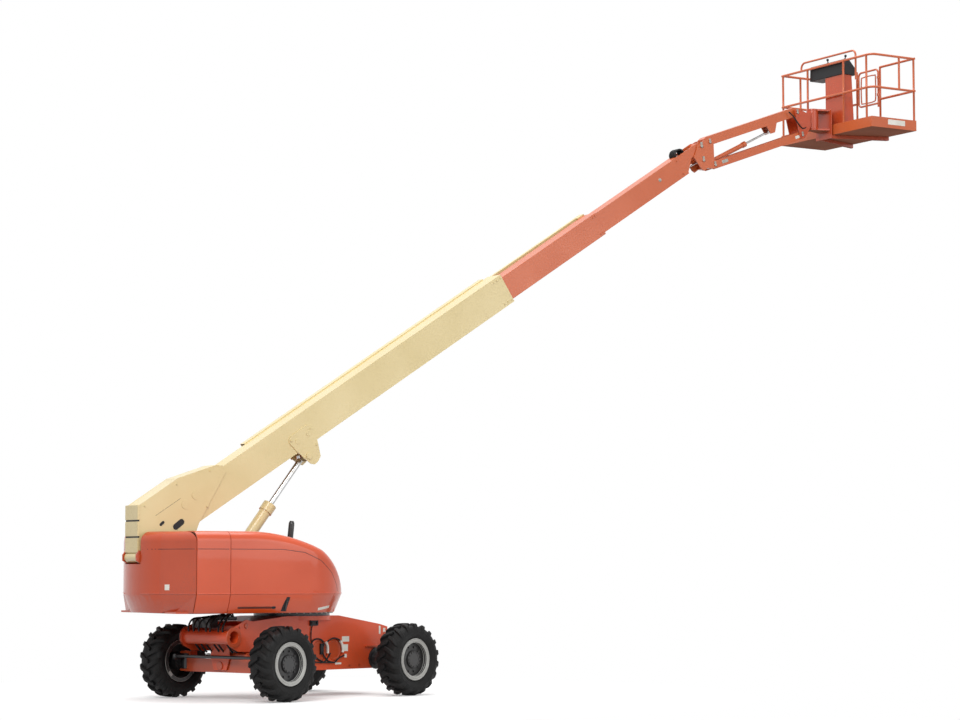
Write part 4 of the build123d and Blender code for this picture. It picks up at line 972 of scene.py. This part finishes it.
tailHalf = 0.192  # from the boom's middle to a tail plate's outer face
tailSlots = {
    # place along and up the boom, width, height and tilt
    "small": (0.508, 0.218, 0.085, 0.04, 8), "large": (0.71, 0.075, 0.19, 0.085, 5),
}
slotRim = 0.03
tailSeam = {"place": (0.705, 0.357), "size": (0.44, 0.004, 0.002)}
bm = bmesh.new()
rims = bmesh.new()
for side in (-1, 1):
    for x, z, width, height, tilt in tailSlots.values():
        place = boomSide(x, z, tailHalf, side) @ Matrix.Rotation(radians(tilt * -side), 4, "Z")
        addPlate(bm, place, roundRect(width, height, height / 2, 8), -0.002, 0.0015)
        width, height = width + slotRim, height + slotRim
        addPlate(rims, place, roundRect(width, height, height / 2, 8), -0.002, 0.0008)
    addPlate(bm, boomSide(*tailSeam["place"], tailHalf, side), roundRect(*tailSeam["size"]), -0.002, 0.0006)
pieceFrom(bm, "tail_slots", blackPlastic, "base_boom", "console_plastic")
pieceFrom(rims, "tail_slot_rims", creamEnamel, "base_boom", "cream_paint")

tailPlateBolts = ((2.78, 0.13), (2.83, -0.17), (3.09, -0.12), (3.13, 0.12), (0.2, 0.02), (0.42, 0.55),
                  (0.98, 0.55), (1.5, 0.44), (1.2, 0.05))
boomBolts = {
    # body, slot, paint, half width, head's radius and height, then the places along and up the boom
    "wear_pad_bolts_base": ("base_boom", "cream_paint", creamEnamel, 0.18, 0.011, 0.008,
                            list(product((6.87, 6.94, 7.01), (-0.02, 0.34)))),
    "wear_pad_bolts_mid": ("mid_boom", "orange_paint", boomOrange, 0.15, 0.011, 0.008,
                           list(product((8.95, 9.0), (0.01, 0.29)))),
    "wear_pad_bolts_fly": ("fly_boom", "orange_paint", boomOrange, 0.12, 0.011, 0.008,
                           list(product((10.815,), (0.04, 0.26)))),
    "tail_plate_bolts": ("base_boom", "cream_paint", creamEnamel, tailHalf, 0.012, 0.009, tailPlateBolts),
}
for name, (body, slotName, paint, half, headRadius, headHeight, places) in boomBolts.items():
    spots = [(boomPlace(x, side * half, z), (0, side, 0)) for side in (-1, 1) for x, z in places]
    addFasteners(name, spots, body, slotName, paint, headRadius=headRadius, headHeight=headHeight)

flyPin = {"place": (10.375, 0.167, 0.12), "cap": cap(0.028, 0.024, 0.006, 0.002, -0.004)}
assemble("fly_pin_caps", zincPlate, "fly_boom", "orange_paint",
         [(addTurned, boomSide(*flyPin["place"], side), flyPin["cap"], 24) for side in (-1, 1)], sharpAngle=40)

flyEndHoses = {
    # their places across, then the route: along and up the boom, share of the place across
    "across": (-0.066, -0.022, 0.022, 0.066), "radius": 0.016,
    "route": [(10.865, 0.29, 1), (10.872, 0.345, 1), (10.925, 0.385, 1), (11.0, 0.372, 1), (11.035, 0.32, 1),
              (11.01, 0.25, 0.9), (10.9, 0.2, 0.9)],
}
routes = [[boomPlace(x, y * share, z) for x, z, share in flyEndHoses["route"]] for y in flyEndHoses["across"]]
hosePiece("fly_end_hoses", routes, flyEndHoses["radius"], "fly_boom")
print("boom dressed")


# jib and platform
def plainSide(x, z, y, side):
    return frameAt((x, y, z), (-side, 0, 0), (0, side, 0))


armLabels = {
    # material, place along and up the lower arm, width and height
    "blank_arm_label": (blankVinyl, 1.749, -0.005, 0.11, 0.045),
    "blank_grey_label": (zincPlate, 0.222, 0.006, 0.12, 0.05),
}
lowerArmHalf = 0.112
for name, (material, x, z, width, height) in armLabels.items():
    place = frameAt(tilted(linkRoot, jibAngle, x, -lowerArmHalf, z), tilted((0, 0), jibAngle, 1, 0, 0), (0, -1, 0))
    assemble(name, material, "jib_lower_arm", "orange_paint", [(addPlate, place, roundRect(width, height, 0.005))])
toePlate = {"place": (10.067, 8.787), "half": 1.15, "size": (0.346, 0.082, 0.008)}
assemble("blank_toe_plates", blankVinyl, "platform", "orange_paint",
         [(addPlate, plainSide(*toePlate["place"], side * toePlate["half"], side), roundRect(*toePlate["size"]),
           -0.001, 0.0016) for side in (-1, 1)])

pinHeads = {
    # body, then each pin's centre in the boom's plane, outer face and radius
    "bracket": ("jib_bracket", [(7.0056, 8.2977, 0.145, 0.026), (7.1686, 8.3757, 0.145, 0.022),
                                (7.2676, 8.0257, 0.145, 0.022), (7.0456, 8.0827, 0.145, 0.024)]),
    "end_link": ("jib_end_link", [(8.8915, 8.9926, 0.145, 0.022), (8.9905, 8.6426, 0.145, 0.022)]),
}
for name, (body, heads) in pinHeads.items():
    forms = []
    for (x, z, half, radius), side in product(heads, (-1, 1)):
        place = plainSide(x, z, side * half, side)
        keeper = place @ Matrix.Translation((0, radius * 1.5, -0.008))
        forms += [(addTurned, place, cap(radius, radius * 0.8, 0.01, 0.006, -0.001), 24),
                  (addPlate, keeper, roundRect(radius * 1.6, radius * 2, 0.006), -0.004, 0.004)]
    assemble(f"pin_heads_{name}", zincPlate, body, "orange_paint", forms, bevel=0.001)

endLinkHoses = {
    # their places across, then the route: along, shift across and height
    "across": (-0.137, -0.128), "radius": 0.009,
    "route": [(8.72, 0, 8.99), (8.8, -0.006, 8.93), (8.88, -0.01, 8.84), (8.99, -0.006, 8.75), (9.1, 0.02, 8.79)],
}
routes = [[(x, y + shift, z) for x, shift, z in endLinkHoses["route"]] for y in endLinkHoses["across"]]
hosePiece("end_link_hoses", routes, endLinkHoses["radius"], "jib_end_link")

gateLoop = {
    # the gate's plane, then the tube's route across and up it
    "plane": 10.451, "radius": 0.011,
    "route": [(-0.19, 9.36), (-0.19, 9.70), (-0.15, 9.745), (0.12, 9.745), (0.165, 9.70), (0.165, 9.36),
              (0.12, 9.315), (-0.15, 9.315), (-0.19, 9.36)],
}
route = [(gateLoop["plane"], y, z) for y, z in gateLoop["route"]]
hosePiece("gate_inner_loop", [route], gateLoop["radius"], "gate", boomOrange, "orange_paint", bend=4)

joysticks = {
    # foot, then each stick's place across and lean
    "foot": (9.73, 9.885), "sticks": ((-0.3, 12), (0.12, -8)),
    "profile": [(0, 0), (0.035, 0), (0.03, 0.02), (0.014, 0.035), (0.009, 0.04), (0.009, 0.06), (0.018, 0.065),
                (0.021, 0.085), (0.015, 0.098), (0, 0.1)],
}
x, z = joysticks["foot"]
places = [Matrix.Translation((x, y, z)) @ Matrix.Rotation(radians(lean), 4, "Y")
          for y, lean in joysticks["sticks"]]
assemble("joysticks", blackPlastic, "platform", "console_plastic",
         [(addTurned, place, joysticks["profile"], 20) for place in places], sharpAngle=40)

switches = {"x": 9.72, "z": 9.888, "rowAhead": 0.045, "rowDrop": 0.02, "rows": 2, "across": (-0.2, 0.04), "columns": 6}
spots = [((switches["x"] + switches["rowAhead"] * i, y, switches["z"] - switches["rowDrop"] * i), (0.2, 0, 1))
         for i in range(switches["rows"]) for y in spread(*switches["across"], switches["columns"])]
addFasteners("console_switches", spots, "platform", "console_plastic", headRadius=0.008, headHeight=0.018,
             washerRadius=0.013)

gripStuds = {"corner": (9.64, -1.056), "height": 8.6955, "rows": 9, "columns": 23, "pitch": 0.096}
x, y = gripStuds["corner"]
spots = [((x + i * gripStuds["pitch"], y + j * gripStuds["pitch"], gripStuds["height"]), (0, 0, 1))
         for i in range(gripStuds["rows"]) for j in range(gripStuds["columns"])]
addFasteners("floor_grip_studs", spots, "platform", "orange_paint", boomOrange, headRadius=0.014,
             headHeight=0.002, washerRadius=0.019, washerHeight=0.0012)
print("jib and platform dressed")

# floor, light and camera
floorLooks = {
    # half the floor's side, its colour to the light, where it starts and ends to turn white, its least veil
    "half": 200, "colour": "#8c8a88", "fadeFrom": 2.6, "fadeTo": 6.5, "leastVeil": 0.25,
}


def shownRays(tree):  # the rays that see the white ground instead of the light
    rays = addNode(tree, "ShaderNodeLightPath").outputs
    seen = calculate(tree, "MAXIMUM", rays["Is Camera Ray"], rays["Is Glossy Ray"])
    return calculate(tree, "MAXIMUM", seen, rays["Is Transmission Ray"])


half = floorLooks["half"]
floorMesh = bpy.data.meshes.new("floor")
corners = [(-half, -half, 0), (half, -half, 0), (half, half, 0), (-half, half, 0)]
floorMesh.from_pydata(corners, [], [(0, 1, 2, 3)])
floor = addObject("floor", floorMesh)
paleFloor, tree, place, shader = startMaterial("pale studio floor", **{"Roughness": 0.95})
shown = shownRays(tree)
body = mixColour(tree, shown, floorLooks["colour"], "#ffffff")
tree.links.new(body, shader.inputs["Base Color"])
away = addNode(tree, "ShaderNodeVectorMath", {1: (0.0, 0.0, 0.0)}, {0: place}, operation="DISTANCE")
fade = remap(tree, away.outputs["Value"], floorLooks["fadeFrom"], floorLooks["fadeTo"])
veil = calculate(tree, "MAXIMUM", fade, floorLooks["leastVeil"])
glow = addNode(tree, "ShaderNodeEmission", {"Strength": 1.0})
share = calculate(tree, "MULTIPLY", shown, veil)
blend = addNode(tree, "ShaderNodeMixShader", links={0: share, 1: shader.outputs[0], 2: glow.outputs[0]})
output = next(n for n in tree.nodes if n.type == "OUTPUT_MATERIAL")
tree.links.new(blend.outputs[0], output.inputs["Surface"])
floorMesh.materials.append(paleFloor)

skyLight = {"low": 0.38, "high": 0.9}  # its strength near the floor and overhead
world = bpy.data.worlds.new("studio")
scene.world = world
world.use_nodes = True
tree = world.node_tree
tree.nodes.clear()
direction = addNode(tree, "ShaderNodeTexCoord").outputs["Generated"]
rise = addNode(tree, "ShaderNodeSeparateXYZ", links={"Vector": direction}).outputs["Z"]
sky = remap(tree, rise, -0.1, 0.9, skyLight["low"], skyLight["high"])
soft = addNode(tree, "ShaderNodeBackground", {"Color": (1, 1, 1, 1)}, {"Strength": sky})
white = addNode(tree, "ShaderNodeBackground", {"Color": (1, 1, 1, 1), "Strength": 1.0})
seen = addNode(tree, "ShaderNodeMixShader", links={0: shownRays(tree), 1: soft.outputs[0], 2: white.outputs[0]})
addNode(tree, "ShaderNodeOutputWorld", links={"Surface": seen.outputs[0]})


def turnTo(holder, aim):  # lamps and cameras look down their own Z
    holder.rotation_euler = Vector(aim).to_track_quat("-Z", "Y").to_euler()


lampSettings = {
    "key": {"place": (-16, -20, 20), "aim": (0, 0, 3), "size": 12, "power": 4900},
    "fill": {"place": (13, -25, 9.7), "aim": (2, 0, 4), "size": 16, "power": 1500},
    "top": {"place": (2, 4, 26), "aim": (2, 0, 3), "size": 18, "power": 3500},
}
for name, values in lampSettings.items():
    lamp = bpy.data.lights.new(name, "AREA")
    lamp.size = values["size"]
    lamp.energy = values["power"]
    holder = addObject(name, lamp)
    holder.location = values["place"]
    turnTo(holder, Vector(values["aim"]) - Vector(values["place"]))

photoView = {"lens": 99.0, "sensor": 36.0, "place": (-16.95, -33.0, 1.77), "yaw": 31.25, "pitch": 4.52}
camera = bpy.data.cameras.new("photo view")
camera.lens = photoView["lens"]
camera.sensor_width = photoView["sensor"]
camera.clip_end = 500
eye = addObject("photo view", camera)
eye.location = photoView["place"]
yaw, pitch = radians(photoView["yaw"]), radians(photoView["pitch"])
turnTo(eye, (sin(yaw) * cos(pitch), cos(yaw) * cos(pitch), sin(pitch)))
scene.camera = eye
scene.view_settings.view_transform = "Standard"
